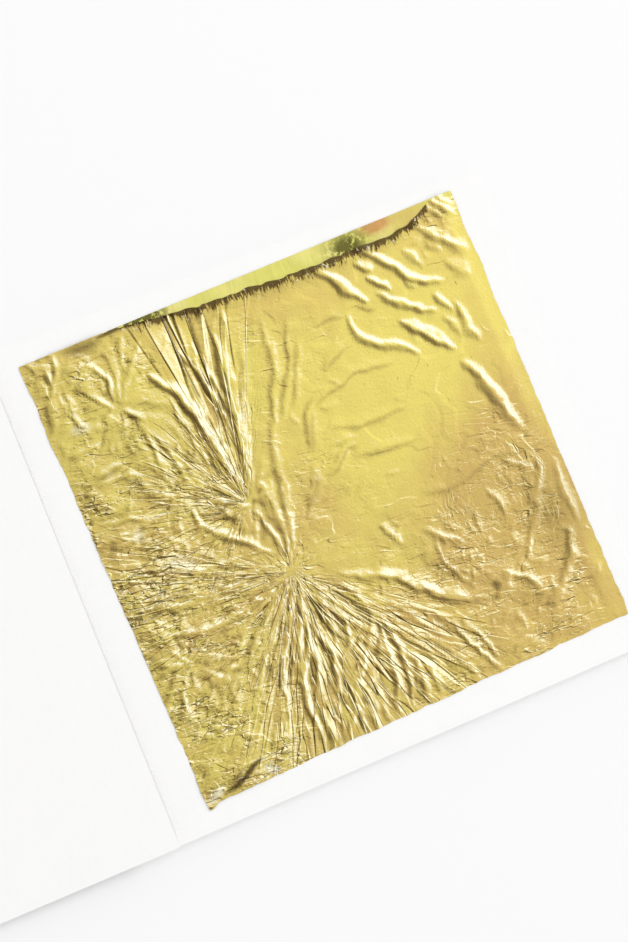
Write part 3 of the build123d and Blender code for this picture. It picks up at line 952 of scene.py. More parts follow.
    def torn(self, s: np.ndarray, t: np.ndarray) -> np.ndarray:
        """The painted shadow under the torn head edge, where the leaf curls up.

        Args:
            s: Places along the foot edge.
            t: Places up from it.

        Returns:
            1 at the edge, falling to 0 where the fringe ends.
        """
        edge = self.edge(s)
        depth = np.minimum(1.0, self.side - edge)
        slow, quick = self.edge_shadow_uneven
        deep = self.edge_shadow_depth + slow * self.grains[12].at(s / 3.1, 0 * s)
        deep += quick * self.grains[13].at(s / 0.9, 0 * s)
        return depth * np.clip(1.0 - (edge - t) / deep, 0.0, 1.0)

    def marked(self, s: np.ndarray, t: np.ndarray, marks: Sequence[Mark]) -> np.ndarray:
        """Soft strokes over the leaf.

        Args:
            s: Places along the foot edge.
            t: Places up from it.
            marks: The strokes.

        Returns:
            A share from 0 to 1 for each place.
        """
        total = np.zeros(s.shape)
        for strength, width, points in marks:
            self.lay(total, s, t, (strength, width, width, points))
        return np.clip(total, 0.0, 1.0)

    def shaded_lines(self, s: np.ndarray, t: np.ndarray) -> np.ndarray:
        """The thin shaded lines along the low folds of the smooth part.

        Args:
            s: Places along the foot edge.
            t: Places up from it.

        Returns:
            How deep the shade is at each place.
        """
        total = np.zeros(s.shape)
        ws, wt = self.wander(s, t, 0.35, 0.3)
        for folds, (over, up) in ((LOW_SWELLS, (0.3, -0.45)), (LOW_RIDGES, (-0.7, 0.0))):
            for *_, points in folds:
                moved = [(x + over, y + up) for x, y in points]
                self.lay(total, ws, wt, (self.line_shade, self.line_width, self.line_width, moved), 1.0)
        # A broad painted shade by the lower fore-edge, and the wider painted shade of FAINT_SHADE.
        deep = 0.75 * blob(s * 1.6, t, (74.5 * 1.6, 22.0), 8.0) * ease(s, 69.0, 73.0)
        return total + deep + together(s, t, FAINT_SHADE)


@dataclass(frozen=True)
class FanPattern:
    """Fine pleats that run out from a knot, too narrow for the mesh.

    share names the mark that says where they show. They grow from nothing to all between the two
    distances of reach, tilt by slope, have run pieces while the distance grows by e, and sway in
    swells of so many pleats by so many.
    """

    knot: Knot
    pleats: int
    share: str
    reach: Range
    slope: float
    run: float
    sway: Range = (1.4, 0.75)


@dataclass(frozen=True)
class FineCrumple:
    """Fine facets, too small for the mesh, in millimetres and degrees.

    They show by least where the leaf is smooth.
    """

    size: float
    lean: float
    longer: float
    slope: float
    least: float


class Value:
    """A number inside a material, on which sums are written as on any number."""

    def __init__(self, bench: "Bench", socket: bpy.types.NodeSocket) -> None:
        """Wraps the socket that gives the number."""
        self.bench, self.socket = bench, socket

    def __add__(self, other: "Value | float") -> "Value":
        """This number and the other together."""
        return self.bench.sum("ADD", self, other)

    def __radd__(self, other: "Value | float") -> "Value":
        """The other number and this one together."""
        return self.bench.sum("ADD", other, self)

    def __sub__(self, other: "Value | float") -> "Value":
        """This number less the other."""
        return self.bench.sum("SUBTRACT", self, other)

    def __rsub__(self, other: "Value | float") -> "Value":
        """The other number less this one."""
        return self.bench.sum("SUBTRACT", other, self)

    def __mul__(self, other: "Value | float") -> "Value":
        """This number times the other."""
        return self.bench.sum("MULTIPLY", self, other)

    def __rmul__(self, other: "Value | float") -> "Value":
        """The other number times this one."""
        return self.bench.sum("MULTIPLY", other, self)

    def size(self) -> "Value":
        """This number without its sign."""
        return self.bench.sum("ABSOLUTE", self)

    def held(self) -> "Value":
        """This number kept between 0 and 1."""
        return self.bench.value("ShaderNodeClamp", {}, {"Value": self})


class Bench:
    """A material or a sky in the making: its nodes and their links."""

    def __init__(self, owner: bpy.types.Material | bpy.types.World) -> None:
        """Empties a material or a sky, to start on it.

        Args:
            owner: The material or sky.
        """
        owner.use_nodes = True
        self.owner, self.tree = owner, owner.node_tree
        self.tree.nodes.clear()

    @classmethod
    def material(cls, name: str) -> "Bench":
        """Starts a new material of this name."""
        return cls(bpy.data.materials.new(name))

    @staticmethod
    def total(terms: Sequence[Value]) -> Value:
        """Adds numbers up.

        Args:
            terms: The numbers.

        Returns:
            All of them together.
        """
        whole, *others = terms
        for term in others:
            whole = whole + term
        return whole

    def node(self, kind: str, settings: dict, inputs: dict) -> bpy.types.Node:
        """Adds one node.

        Args:
            kind: The node's type.
            settings: Its properties, set first.
            inputs: The value or link of each socket, by the socket's name or number.

        Returns:
            The node.
        """
        node = self.tree.nodes.new(kind)
        for key, setting in settings.items():
            setattr(node, key, setting)
        for key, given in inputs.items():
            given = given.socket if isinstance(given, Value) else given
            if isinstance(given, bpy.types.NodeSocket):
                self.tree.links.new(given, node.inputs[key])
            else:
                wide = isinstance(given, tuple) and node.inputs[key].type == "RGBA"
                node.inputs[key].default_value = (*given, 1.0) if wide else given
        return node

    def value(self, kind: str, settings: dict, inputs: dict, output: int | str = 0) -> Value:
        """Adds one node and gives one of its outputs, by name or number."""
        return Value(self, self.node(kind, settings, inputs).outputs[output])

    def sum(self, operation: str, *terms: Value | float) -> Value:
        """Adds a Math node that does this with the terms."""
        return self.value("ShaderNodeMath", {"operation": operation}, dict(enumerate(terms)))

    def vector(self, operation: str, inputs: dict) -> bpy.types.NodeSocket:
        """Adds a Vector Math node that does this with the inputs."""
        return self.node("ShaderNodeVectorMath", {"operation": operation}, inputs).outputs[0]

    def mapped(self, inputs: dict) -> bpy.types.NodeSocket:
        """Places that are stretched, turned and then moved, as the inputs say."""
        return self.node("ShaderNodeMapping", {"vector_type": "POINT"}, inputs).outputs[0]

    def place(self) -> bpy.types.NodeSocket:
        """The place on the object, in metres."""
        return self.node("ShaderNodeTexCoord", {}, {}).outputs["Object"]

    def attribute(self, name: str) -> Value:
        """A number that the mesh carries at each point."""
        return self.value("ShaderNodeAttribute", {"attribute_name": name}, {}, "Fac")

    def turned(self, degrees: float, stretch: Place) -> bpy.types.NodeSocket:
        """The place on the object, stretched and turned about the upright."""
        turn = (0.0, 0.0, math.radians(degrees))
        return self.mapped({"Vector": self.place(), "Rotation": turn, "Scale": stretch})

    def ground(self, lean: float, longer: float, shift: tuple[float, float]) -> bpy.types.NodeSocket:
        """Finds flat places in millimetres, for a pattern that is longer one way.

        Args:
            lean: How far the pattern is turned, in degrees.
            longer: How many times longer it is one way.
            shift: How far the places are shifted, in millimetres.

        Returns:
            The places.
        """
        moved = self.vector("ADD", {0: self.place(), 1: (shift[0] * MM, shift[1] * MM, 0.0)})
        turn, stretch = (0.0, 0.0, math.radians(-lean)), (1.0 / (longer * MM), 1.0 / MM, 0.0)
        return self.mapped({"Vector": moved, "Rotation": turn, "Scale": stretch})

    def bent(self, where: bpy.types.NodeSocket, size: float, far: float) -> bpy.types.NodeSocket:
        """Shifts flat places at random.

        Args:
            where: The places.
            size: The size of the swells in which they shift, in the same unit.
            far: How far they shift at most.

        Returns:
            The shifted places.
        """
        inputs = {"Vector": where, "Scale": 1.0 / size, "Detail": 1.0}
        shift = self.node("ShaderNodeTexNoise", {"noise_dimensions": "2D"}, inputs).outputs["Color"]
        wander = self.vector("SUBTRACT", {0: shift, 1: (0.5, 0.5, 0.5)})
        return self.vector("ADD", {0: where, 1: self.vector("SCALE", {0: wander, "Scale": 2.0 * far})})

    def flat_noise(self, where: bpy.types.NodeSocket, size: float, detail: float) -> Value:
        """A noise pattern on flat places, around one half, with swells of this size."""
        inputs = {"Vector": where, "Scale": 1.0 / size, "Detail": detail, "Roughness": 0.55}
        return self.value("ShaderNodeTexNoise", {"noise_dimensions": "2D"}, inputs)

    def noise(self, size: float, detail: float, rough: float = 0.5,
              where: bpy.types.NodeSocket | None = None, bent: float = 0.0) -> Value:
        """Makes a noise pattern.

        Args:
            size: The size of its swells, in millimetres.
            detail: How many finer layers it has.
            rough: How strong these are.
            where: The places that it reads, or the object's own.
            bent: How far it is bent by itself.

        Returns:
            The pattern, around one half.
        """
        inputs = {"Vector": where or self.place(), "Scale": 1.0 / (size * MM), "Detail": detail,
                  "Roughness": rough, "Distortion": bent}
        return self.value("ShaderNodeTexNoise", {"noise_dimensions": "3D"}, inputs)

    def facets(self, where: bpy.types.NodeSocket, size: float, fold: float) -> tuple[Value, Value]:
        """Makes flat facets, each tilted its own way, with a sharp crease between them.

        Args:
            where: The flat places that it reads.
            size: The size of a facet, in the same unit.
            fold: How wide a crease is, as a share of a facet.

        Returns:
            The height in the same unit for a tilt of 1, and a random number for each facet,
            around zero.
        """
        inputs = {"Vector": where, "Scale": 1.0 / size}
        settings = {"feature": "F1", "voronoi_dimensions": "2D"}
        cell = self.node("ShaderNodeTexVoronoi", settings, inputs).outputs
        tilt = self.vector("SUBTRACT", {0: cell["Color"], 1: (0.5, 0.5, 0.5)})
        off = self.vector("SUBTRACT", {0: where, 1: cell["Position"]})
        settings = {"operation": "DOT_PRODUCT"}
        height = self.value("ShaderNodeVectorMath", settings, {0: tilt, 1: off}, "Value")
        settings = {"feature": "DISTANCE_TO_EDGE", "voronoi_dimensions": "2D"}
        inward = self.value("ShaderNodeTexVoronoi", settings, inputs, "Distance")
        return height * 2.0 * (inward * (1.0 / fold)).held(), Value(self, cell["Color"]) - 0.5

    def polar(self, centre: tuple[float, float], cut: float, pleats: int, run: float,
              shift: tuple[float, float]) -> tuple[bpy.types.NodeSocket, Value]:
        """Finds places round a point: pleats round it, and the distance's logarithm outwards.

        Args:
            centre: The point's x and y, in millimetres.
            cut: The direction in degrees where the count of pleats starts.
            pleats: How many there are all round it.
            run: How many steps outwards the distance takes to grow by e.
            shift: How far the places are shifted, in millimetres.

        Returns:
            The places, and the distance in millimetres.
        """
        turn = math.radians(-cut - 180.0)
        x, y = shift[0] - centre[0], shift[1] - centre[1]
        start = (x * math.cos(turn) - y * math.sin(turn), x * math.sin(turn) + y * math.cos(turn), 0.0)
        local = self.mapped({"Vector": self.place(), "Location": start, "Rotation": (0.0, 0.0, turn),
                             "Scale": (1.0 / MM, 1.0 / MM, 0.0)})
        away = self.value("ShaderNodeVectorMath", {"operation": "LENGTH"}, {0: local}, "Value")
        parts = self.node("ShaderNodeSeparateXYZ", {}, {0: local}).outputs
        angle = self.sum("ARCTAN2", Value(self, parts[1]), Value(self, parts[0]))
        out = self.sum("LOGARITHM", away + 0.3, math.e) * run
        inputs = {"X": angle * (pleats / (2.0 * math.pi)), "Y": out}
        return self.node("ShaderNodeCombineXYZ", {}, inputs).outputs[0], away

    def mix(self, share: Value | float, first: object, second: object) -> bpy.types.NodeSocket:
        """Blends two colours.

        Args:
            share: How much of the second there is.
            first: A colour, or the socket that gives one.
            second: The other colour, or its socket.

        Returns:
            The blend.
        """
        inputs = {0: share, 6: first, 7: second}
        return self.node("ShaderNodeMix", {"data_type": "RGBA"}, inputs).outputs[2]

    def bump(self, height: Value, depth: float,
             under: bpy.types.NodeSocket | None = None) -> bpy.types.NodeSocket:
        """Raises the surface.

        Args:
            height: The pattern that raises it.
            depth: How high 1 in the pattern is, in millimetres.
            under: A coarser relief that this one lies on.

        Returns:
            The raised surface's direction.
        """
        inputs = {"Height": height, "Distance": depth * MM, "Strength": 1.0}
        if under is not None:
            inputs["Normal"] = under
        return self.node("ShaderNodeBump", {}, inputs).outputs[0]

    def finish(self, inputs: dict) -> bpy.types.Material:
        """Adds the shader.

        Args:
            inputs: The value or link of each of its sockets.

        Returns:
            The finished material.
        """
        shader = self.node("ShaderNodeBsdfPrincipled", {}, inputs)
        self.node("ShaderNodeOutputMaterial", {}, {"Surface": shader.outputs[0]})
        return self.owner


@dataclass(frozen=True)
class Rise:
    """How a share grows with a number: from where, how fast, and to how much at most."""

    start: float
    gain: float
    most: float = 1.0

    def of(self, value: Value) -> Value:
        """The share at this number."""
        share = ((value - self.start) * self.gain).held()
        return share * self.most if self.most < 1.0 else share


@dataclass(frozen=True)
class GoldFinish:
    """Beaten gold, which is green-yellow where it lies smooth and ochre where it is crumpled.

    Sizes are in millimetres. The ochre is partly the gold's own tone, partly painted shade where
    the leaf is crumpled. The rises on slopes say from which slope, towards the lamp or away from
    it, the gold gets a painted pale or white highlight or painted shade.
    """

    name: str = "beaten_gold"
    fresh: Colour = (0.66, 0.555, 0.14)
    ochre: Colour = (0.53, 0.375, 0.12)
    # pale and white are the colours of painted highlights on slopes that face the lamp; white is also that
    # of the white marks and of the flakes at the torn edge. hollow is the colour of painted shade, and
    # brown that of the painted shade of deep folds and the painted shadow under the torn edge.
    pale: Colour = (0.69, 0.625, 0.345)
    hollow: Colour = (0.30, 0.21, 0.07)
    brown: Colour = (0.07, 0.042, 0.016)
    white: Colour = (0.79, 0.76, 0.57)
    roughness: float = 0.27
    light_side: tuple[float, float] = (0.92, 0.39)
    ahead: float = 0.08
    fold: float = 0.11
    fans: tuple[FanPattern, ...] = (
        FanPattern(HUB_KNOT, 26, "hub", (6.0, 2.5), 0.24, 1.6),
        FanPattern(MAIN_KNOT, 54, "fan", (14.0, 8.0), 0.36, 1.8),
        FanPattern(MAIN_KNOT, 140, "fan", (4.0, 8.0), 0.26, 3.6),
        FanPattern(UPPER_KNOT, 40, "upper", (10.0, 6.0), 0.32, 1.5),
        FanPattern(UPPER_KNOT, 110, "upper", (3.0, 6.0), 0.22, 3.2),
        FanPattern(STRIP_KNOT, 90, "strips", (2.0, 5.0), 0.24, 1.1),
        FanPattern(SWIRL_KNOT, 30, "swirl", (0.5, 3.0), 0.042, 10.0, (3.5, 2.6)),
    )
    crumples: tuple[FineCrumple, ...] = (
        FineCrumple(1.3, 22.0, 3.2, 0.27, 0.012),
        FineCrumple(0.62, 4.0, 2.3, 0.29, 0.015),
    )
    contour_size: float = 9.5
    contour_height: Rise = Rise(0.49, 50.0, 0.07)
    contour_gap_size: float = 6.0
    contour_gaps: Rise = Rise(0.5, 9.0)
    grain_size: float = 0.5
    grain_height: float = 0.033
    frizz_size: float = 0.36
    frizz_height: float = 0.045
    crumple_sway: tuple[float, float] = (1.3, 0.6)
    crumple_tint: float = 0.8
    crumple_patches: Rise = Rise(0.44, 5.0, 0.8)
    cut: float = 60.0
    # How the pale and the white painted highlights and the painted shade grow with the slope towards the
    # lamp or away from it.
    pale_highlight_slope: Rise = Rise(0.05, 4.2, 0.9)
    white_highlight_slope: Rise = Rise(0.14, 7.0)
    painted_shade_slope: Rise = Rise(0.07, 2.8, 0.85)
    painted_shade_most: float = 0.88
    # How the painted shadow under the torn edge breaks into hairs, and how dark it gets at most.
    edge_shadow_hairs: Rise = Rise(0.0, 1.9)
    edge_shadow_most: float = 0.92
    flake_size: float = 0.9
    flakes: Rise = Rise(0.66, 14.0)
    flakes_most: float = 0.7

    def relief(self, bench: Bench, shares: dict[str, Value], shift: float) -> tuple[Value, Value]:
        """The fine relief over the mesh's own.

        Args:
            bench: The material in the making.
            shares: How strong each part of the relief is.
            shift: How far towards the light the places are shifted, in millimetres.

        Returns:
            The height in millimetres, and a random tint for each facet.
        """
        moved = (shift * self.light_side[0], shift * self.light_side[1])
        heights, tints = [], []
        for fan in self.fans:
            centre, cut = skewed(*fan.knot.place, LEAF_CORNER), self.cut + LEAF_SKEW
            where, away = bench.polar(centre, cut, fan.pleats, fan.run, moved)
            grown = ((away - fan.reach[0]) * (1.0 / (fan.reach[1] - fan.reach[0]))).held()
            share = shares[fan.share] * grown
            tall, tint = bench.facets(bench.bent(where, *fan.sway), 1.0, self.fold)
            heights.append(tall * away * share * (fan.slope * 2.0 * math.pi / fan.pleats))
            tints.append(tint * share)
        for layer in self.crumples:
            where = bench.ground(layer.lean, layer.longer, moved)
            strength = shares["crumple"] + layer.least
            where = bench.bent(where, *(share * layer.size for share in self.crumple_sway))
            tall, tint = bench.facets(where, layer.size, self.fold)
            heights.append(tall * strength * layer.slope)
            tints.append(tint * strength * self.crumple_tint)
        flow = bench.bent(bench.ground(-14.0, 1.7, moved), 3.0, 0.9)
        flow = bench.flat_noise(flow, self.contour_size, 1.6)
        gaps = bench.flat_noise(bench.ground(0.0, 1.0, (31.0, 7.0)), self.contour_gap_size, 1.0)
        heights.append(self.contour_height.of(flow) * shares["calm"] * self.contour_gaps.of(gaps))
        grain = bench.flat_noise(bench.ground(0.0, 1.0, moved), self.grain_size, 2.0)
        heights.append(grain * self.grain_height)
        frizz = bench.flat_noise(bench.ground(10.0, 2.2, moved), self.frizz_size, 1.0)
        heights.append(frizz * (shares["crumple"] * self.frizz_height))
        return bench.total(heights), bench.total(tints)

    def shares(self, bench: Bench, marks: dict[str, Value]) -> dict[str, Value]:
        """How strong each part of the fine relief is.

        Args:
            bench: The material in the making.
            marks: The numbers that the leaf's mesh carries.

        Returns:
            A share for each part, weaker on the large folds, where the leaf is taut.
        """
        calm, taut = 1.0 - marks["calm"] * 0.75, 1.0 - marks["calm"] * 0.3
        patches = self.crumple_patches.of(bench.noise(4.5, 2.0, 0.5)) + 0.2
        ruffled = marks["crumple"] * (1.0 - marks["swirl"] * 0.6)
        fans = {key: marks[key] * taut for key in ("fan", "upper", "strips", "hub", "swirl")}
        return fans | {"crumple": ruffled * patches * calm, "calm": calm}

    def material(self) -> bpy.types.Material:
        """Makes the material. It reads the numbers that the leaf's mesh carries.

        Returns:
            The material.
        """
        bench = Bench.material(self.name)
        marks = {key: bench.attribute(key) for key in LEAF_MARKS}
        shares = self.shares(bench, marks)
        height, tints = self.relief(bench, shares, 0.0)
        ahead, _ = self.relief(bench, shares, self.ahead)
        # facing is how far each place turns towards the lamp, with the fine relief; the colours below paint
        # light and shade by it.
        facing = marks["facing"] + (height - ahead) * (1.0 / self.ahead)
        cloud, speckle = bench.noise(1.6, 3.0, 0.6), bench.noise(0.3, 2.0, 0.7)
        tone = marks["tone"] + (cloud - 0.5) * 0.4 + tints * 0.8
        gold = bench.mix(tone.held(), self.ochre, self.fresh)
        # Painted highlight: pale on slopes that face the lamp and on crests.
        pale = self.pale_highlight_slope.of(facing) + marks["crest"] * 0.12 + (speckle - 0.6) * 0.3
        gold = bench.mix(pale.held(), gold, self.pale)
        # Painted highlight: near white on the slopes that face the lamp most, more on the large folds, and
        # at the white marks.
        folded = marks["calm"] * 0.65 + 0.35
        white = self.white_highlight_slope.of(facing) * folded + marks["light"] * (0.2 + speckle)
        gold = bench.mix(white.held(), gold, self.white)
        # Painted shade: on slopes turned away from the lamp, in the creases and along the shaded lines.
        shade = self.painted_shade_slope.of(0.0 - facing) + marks["crease"] * 0.3 + marks["line"] * speckle * 1.3
        gold = bench.mix(shade.held() * self.painted_shade_most, gold, self.hollow)
        gold = self.paint_edge_shade(bench, marks, speckle, gold)
        inputs = {"Base Color": gold, "Metallic": 1.0, "Roughness": self.roughness + (cloud - 0.5) * 0.1,
                  "Normal": bench.bump(height, 1.0)}
        return bench.finish(inputs)

    def paint_edge_shade(self, bench: Bench, marks: dict[str, Value], speckle: Value,
                  gold: bpy.types.NodeSocket) -> bpy.types.NodeSocket:
        """Paints shade on the deep folds and a hairy painted shadow under the torn edge, which has bright
        flakes.

        Args:
            bench: The material in the making.
            marks: The numbers that the leaf's mesh carries.
            speckle: A fine pattern.
            gold: The colour so far.

        Returns:
            The colour.
        """
        hairs = bench.noise(0.3, 2.0, 0.6, bench.turned(-LEAF_SKEW, (1.0, 0.14, 1.0)))
        # Painted shadow under the torn edge's curl, broken into hairs, and painted shade of the deep folds.
        fringe = self.edge_shadow_hairs.of(marks["torn"] * 1.7 - (hairs - 0.3) * 3.2)
        deep = marks["dark"] * (0.6 + 0.6 * speckle) + fringe * self.edge_shadow_most
        gold = bench.mix(deep.held(), gold, self.brown)
        flakes = self.flakes.of(bench.noise(self.flake_size, 2.0)) * (marks["torn"] * 3.0).held()
        return bench.mix(flakes * self.flakes_most, gold, self.white)


@dataclass(frozen=True)
class PressedGoldFinish:
    """The gold of the leaves that still lie pressed between pages, with faint wrinkles."""

    name: str = "pressed_gold"
    fresh: Colour = (0.71, 0.64, 0.23)
    olive: Colour = (0.60, 0.57, 0.145)
    rust: Colour = (0.50, 0.28, 0.10)
    # shade is the colour of the painted shade on the second leaf's strip.
    shade: Colour = (0.13, 0.12, 0.03)
    cloud_size: float = 6.0
    clouds: Rise = Rise(0.42, 3.0)
    mottle_size: float = 1.0
    mottles: Rise = Rise(0.38, 8.0)
    wrinkle_size: float = 2.2
    wrinkle_height: float = 0.07
    grain_size: float = 0.3
    grain_height: float = 0.012

    def material(self) -> bpy.types.Material:
        """Makes the material, from patterns on the object's own places.

        Returns:
            The material.
        """
        bench = Bench.material(self.name)
        cloud = bench.noise(self.cloud_size, 3.0, 0.55)
        gold = bench.mix(self.clouds.of(cloud), self.olive, self.fresh)
        mottle = bench.noise(self.mottle_size, 3.0, 0.65)
        gold = bench.mix((bench.attribute("rust") * (0.9 + mottle)).held(), gold, self.rust)
        # Painted shade on the second leaf's strip, at its narrow start and by the torn edge, broken up by
        # the mottle.
        gold = bench.mix((bench.attribute("shade") * self.mottles.of(mottle)).held(), gold, self.shade)
        along = bench.noise(self.wrinkle_size, 3.0, 0.55, bench.turned(24.0, (1.0, 0.28, 1.0)), 0.4)
        wrinkles = bench.bump(1.0 - ((along - 0.5) * 2.0).size(), self.wrinkle_height)
        surface = bench.bump(bench.noise(self.grain_size, 2.0, 0.6), self.grain_height, wrinkles)
        return bench.finish({"Base Color": gold, "Metallic": 1.0, "Roughness": 0.27 + cloud * 0.1,
                             "Normal": surface})


@dataclass(frozen=True)
class TissueFinish:
    """Thin white tissue with faint fibres and cockles."""

    name: str = "white_tissue"
    white: Colour = (0.945, 0.945, 0.94)
    grey: Colour = (0.905, 0.905, 0.90)
    fibre_size: float = 0.5
    fibre_height: float = 0.012
    cloud_size: float = 5.0
    cockle_size: float = 11.0
    cockle_height: float = 0.16

    def material(self) -> bpy.types.Material:
        """Makes the material, from patterns on the object's own places.

        Returns:
            The material.
        """
        bench = Bench.material(self.name)
        fibre = bench.noise(self.fibre_size, 4.0, 0.6, bench.turned(12.0, (1.0, 0.2, 1.0)), 0.8)
        cloud = bench.noise(self.cloud_size, 3.0, 0.6)
        grey = ((fibre - 0.45) * 2.0 + (cloud - 0.5) * 1.2).held() * 0.6
        paper = bench.mix(grey, self.white, self.grey)
        cockles = bench.bump(bench.noise(self.cockle_size, 1.0), self.cockle_height)
        surface = bench.bump(fibre, self.fibre_height, cockles)
        return bench.finish({"Base Color": paper, "Roughness": 0.62 + cloud * 0.12, "Normal": surface})


@dataclass(frozen=True)
class CardFinish:
    """Uncoated white card with a felt grain and a few darker fibres."""

    name: str = "white_card"
    white: Colour = (0.90, 0.895, 0.88)
    fleck: Colour = (0.74, 0.70, 0.62)
    felt_size: float = 0.8
    felt_height: float = 0.03
    fibre_size: float = 1.7

    def material(self) -> bpy.types.Material:
        """Makes the material, from patterns on the object's own places.

        Returns:
            The material.
        """
        bench = Bench.material(self.name)
        felt = bench.noise(self.felt_size, 4.0, 0.65)
        strands = bench.noise(self.fibre_size, 1.0, 0.5, bench.turned(35.0, (1.0, 0.12, 1.0)), 1.5)
        fibres = (1.0 - ((strands - 0.5) * 9.0).size()).held()
        card = bench.mix(((felt - 0.5) * 1.6).held() * 0.25, self.white, self.fleck)
        card = bench.mix(fibres * 0.12, card, self.fleck)
        surface = bench.bump(felt, self.felt_height)
        return bench.finish({"Base Color": card, "Roughness": 0.78 + (felt - 0.5) * 0.2, "Normal": surface})


@dataclass(frozen=True)
class WireFinish:
    """Tinned steel wire, drawn lengthways."""

    name: str = "tinned_wire"
    steel: Colour = (0.62, 0.62, 0.64)
    dull: Colour = (0.42, 0.42, 0.43)
    draw_size: float = 0.12
    draw_height: float = 0.01

    def material(self) -> bpy.types.Material:
        """Makes the material, from patterns on the object's own places.

        Returns:
            The material.
        """
        bench = Bench.material(self.name)
        drawn = bench.noise(self.draw_size, 2.0, 0.5, bench.turned(0.0, (1.0, 0.04, 1.0)))
        steel = bench.mix(((drawn - 0.5) * 2.0).held(), self.steel, self.dull)
        surface = bench.bump(drawn, self.draw_height)
        return bench.finish({"Base Color": steel, "Metallic": 1.0, "Roughness": 0.26 + drawn * 0.2,
                             "Normal": surface})


def grid_sheet(name: str, cells: int, shape: Pattern, thickness: float,
               marks: dict[str, Pattern] | None = None) -> bpy.types.Object:
    """Makes a thin closed sheet from a square grid.

    Args:
        name: The piece's name.
        cells: How many cells it has each way.
        shape: Gives the upper skin's points, in metres, from two shares of 0 to 1.
        thickness: How thick the sheet is, in metres.
        marks: Numbers that the mesh carries at each point, each from the same two shares.

    Returns:
        The new object, at the origin.
    """
    work = bmesh.new()
    bmesh.ops.create_grid(work, x_segments=cells, y_segments=cells, size=0.5)
    flat = np.array([v.co for v in work.verts]) + 0.5
    u, v = np.clip(flat[:, 0], 0.0, 1.0), np.clip(flat[:, 1], 0.0, 1.0)
    for vert, point in zip(work.verts, shape(u, v)):
        vert.co = point
    for face in work.faces:
        face.smooth = True
    for edge in work.edges:
        edge.smooth = not edge.is_boundary
    mesh = bpy.data.meshes.new(name)
    work.to_mesh(mesh)
    work.free()
    for key, mark in (marks or {}).items():
        layer = mesh.attributes.new(key, "FLOAT", "POINT")
        layer.data.foreach_set("value", mark(u, v).astype(np.float32))
    piece = bpy.data.objects.new(name, mesh)
    bpy.context.scene.collection.objects.link(piece)
    skin = piece.modifiers.new("thickness", "SOLIDIFY")
    skin.thickness, skin.offset, skin.use_rim = thickness, -1.0, True
    return piece


@dataclass
class TopLeaf:
    """The crinkled leaf that lies loose on top. Only side and thickness are in metres."""

    side: float = LEAF_SIDE * MM
    thickness: float = 0.02 * MM
    foot: float = 1.71
    cells: int = 218
    uneven_side: tuple[float, float] = (0.34, 0.14)
    uneven_foot: tuple[float, float] = (0.30, 0.14)
    border: float = 3.0
    tail: Patch = Patch(0.7, (0.0, 0.0), 1.6)
    relief: LeafRelief = field(default_factory=LeafRelief)
    finish: GoldFinish = GoldFinish()

    def outline(self, u: np.ndarray, v: np.ndarray) -> tuple[np.ndarray, np.ndarray]:
        """Finds places on the leaf, inside its slightly uneven outline.

        Args:
            u: Shares of the way along the foot edge.
            v: Shares of the way up from it.

        Returns:
            The places along and up the leaf, in millimetres.
        """
        s, t = u * self.relief.side, v * self.relief.edge(u * self.relief.side)
        wave, far = self.relief.grains[8], self.relief.side
        slow, quick = self.uneven_side
        pull_s = slow * wave.at(t / 7.0, 0 * t) + quick * wave.at(t / 1.7, 0 * t + 5.0)
        slow, quick = self.uneven_foot
        pull_t = slow * wave.at(s / 6.0, 0 * s + 9.0) + quick * wave.at(s / 1.6, 0 * s + 13.0)
        sides = ease(s, self.border, 0.0) - ease(s, far - self.border, far)
        return s + pull_s * sides, t + pull_t * ease(t, self.border, 0.0) - self.tail.share(s, t)

    def skin(self, u: np.ndarray, v: np.ndarray) -> np.ndarray:
        """Finds the upper skin's points.

        Args:
            u: Shares of the way along the foot edge.
            v: Shares of the way up from it.

        Returns:
            The points, in metres.
        """
        s, t = self.outline(u, v)
        x, y = skewed(s, t, LEAF_CORNER)
        z = self.foot + self.thickness / MM + self.relief.read("height", s, t)
        return np.stack([x, y, z], axis=1) * MM

    def build(self) -> bpy.types.Object:
        """Makes the leaf, dresses it and puts it on its body.

        Returns:
            The leaf.
        """
        marks = {
            key: lambda u, v, key=key: self.relief.read(key, *self.outline(u, v))
            for key in LEAF_MARKS
        }
        leaf = grid_sheet("top_gold_leaf", self.cells, self.skin, self.thickness, marks)
        leaf.data.materials.append(self.finish.material())
        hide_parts("leaf_01")
        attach(leaf, "top_leaf")
        return leaf


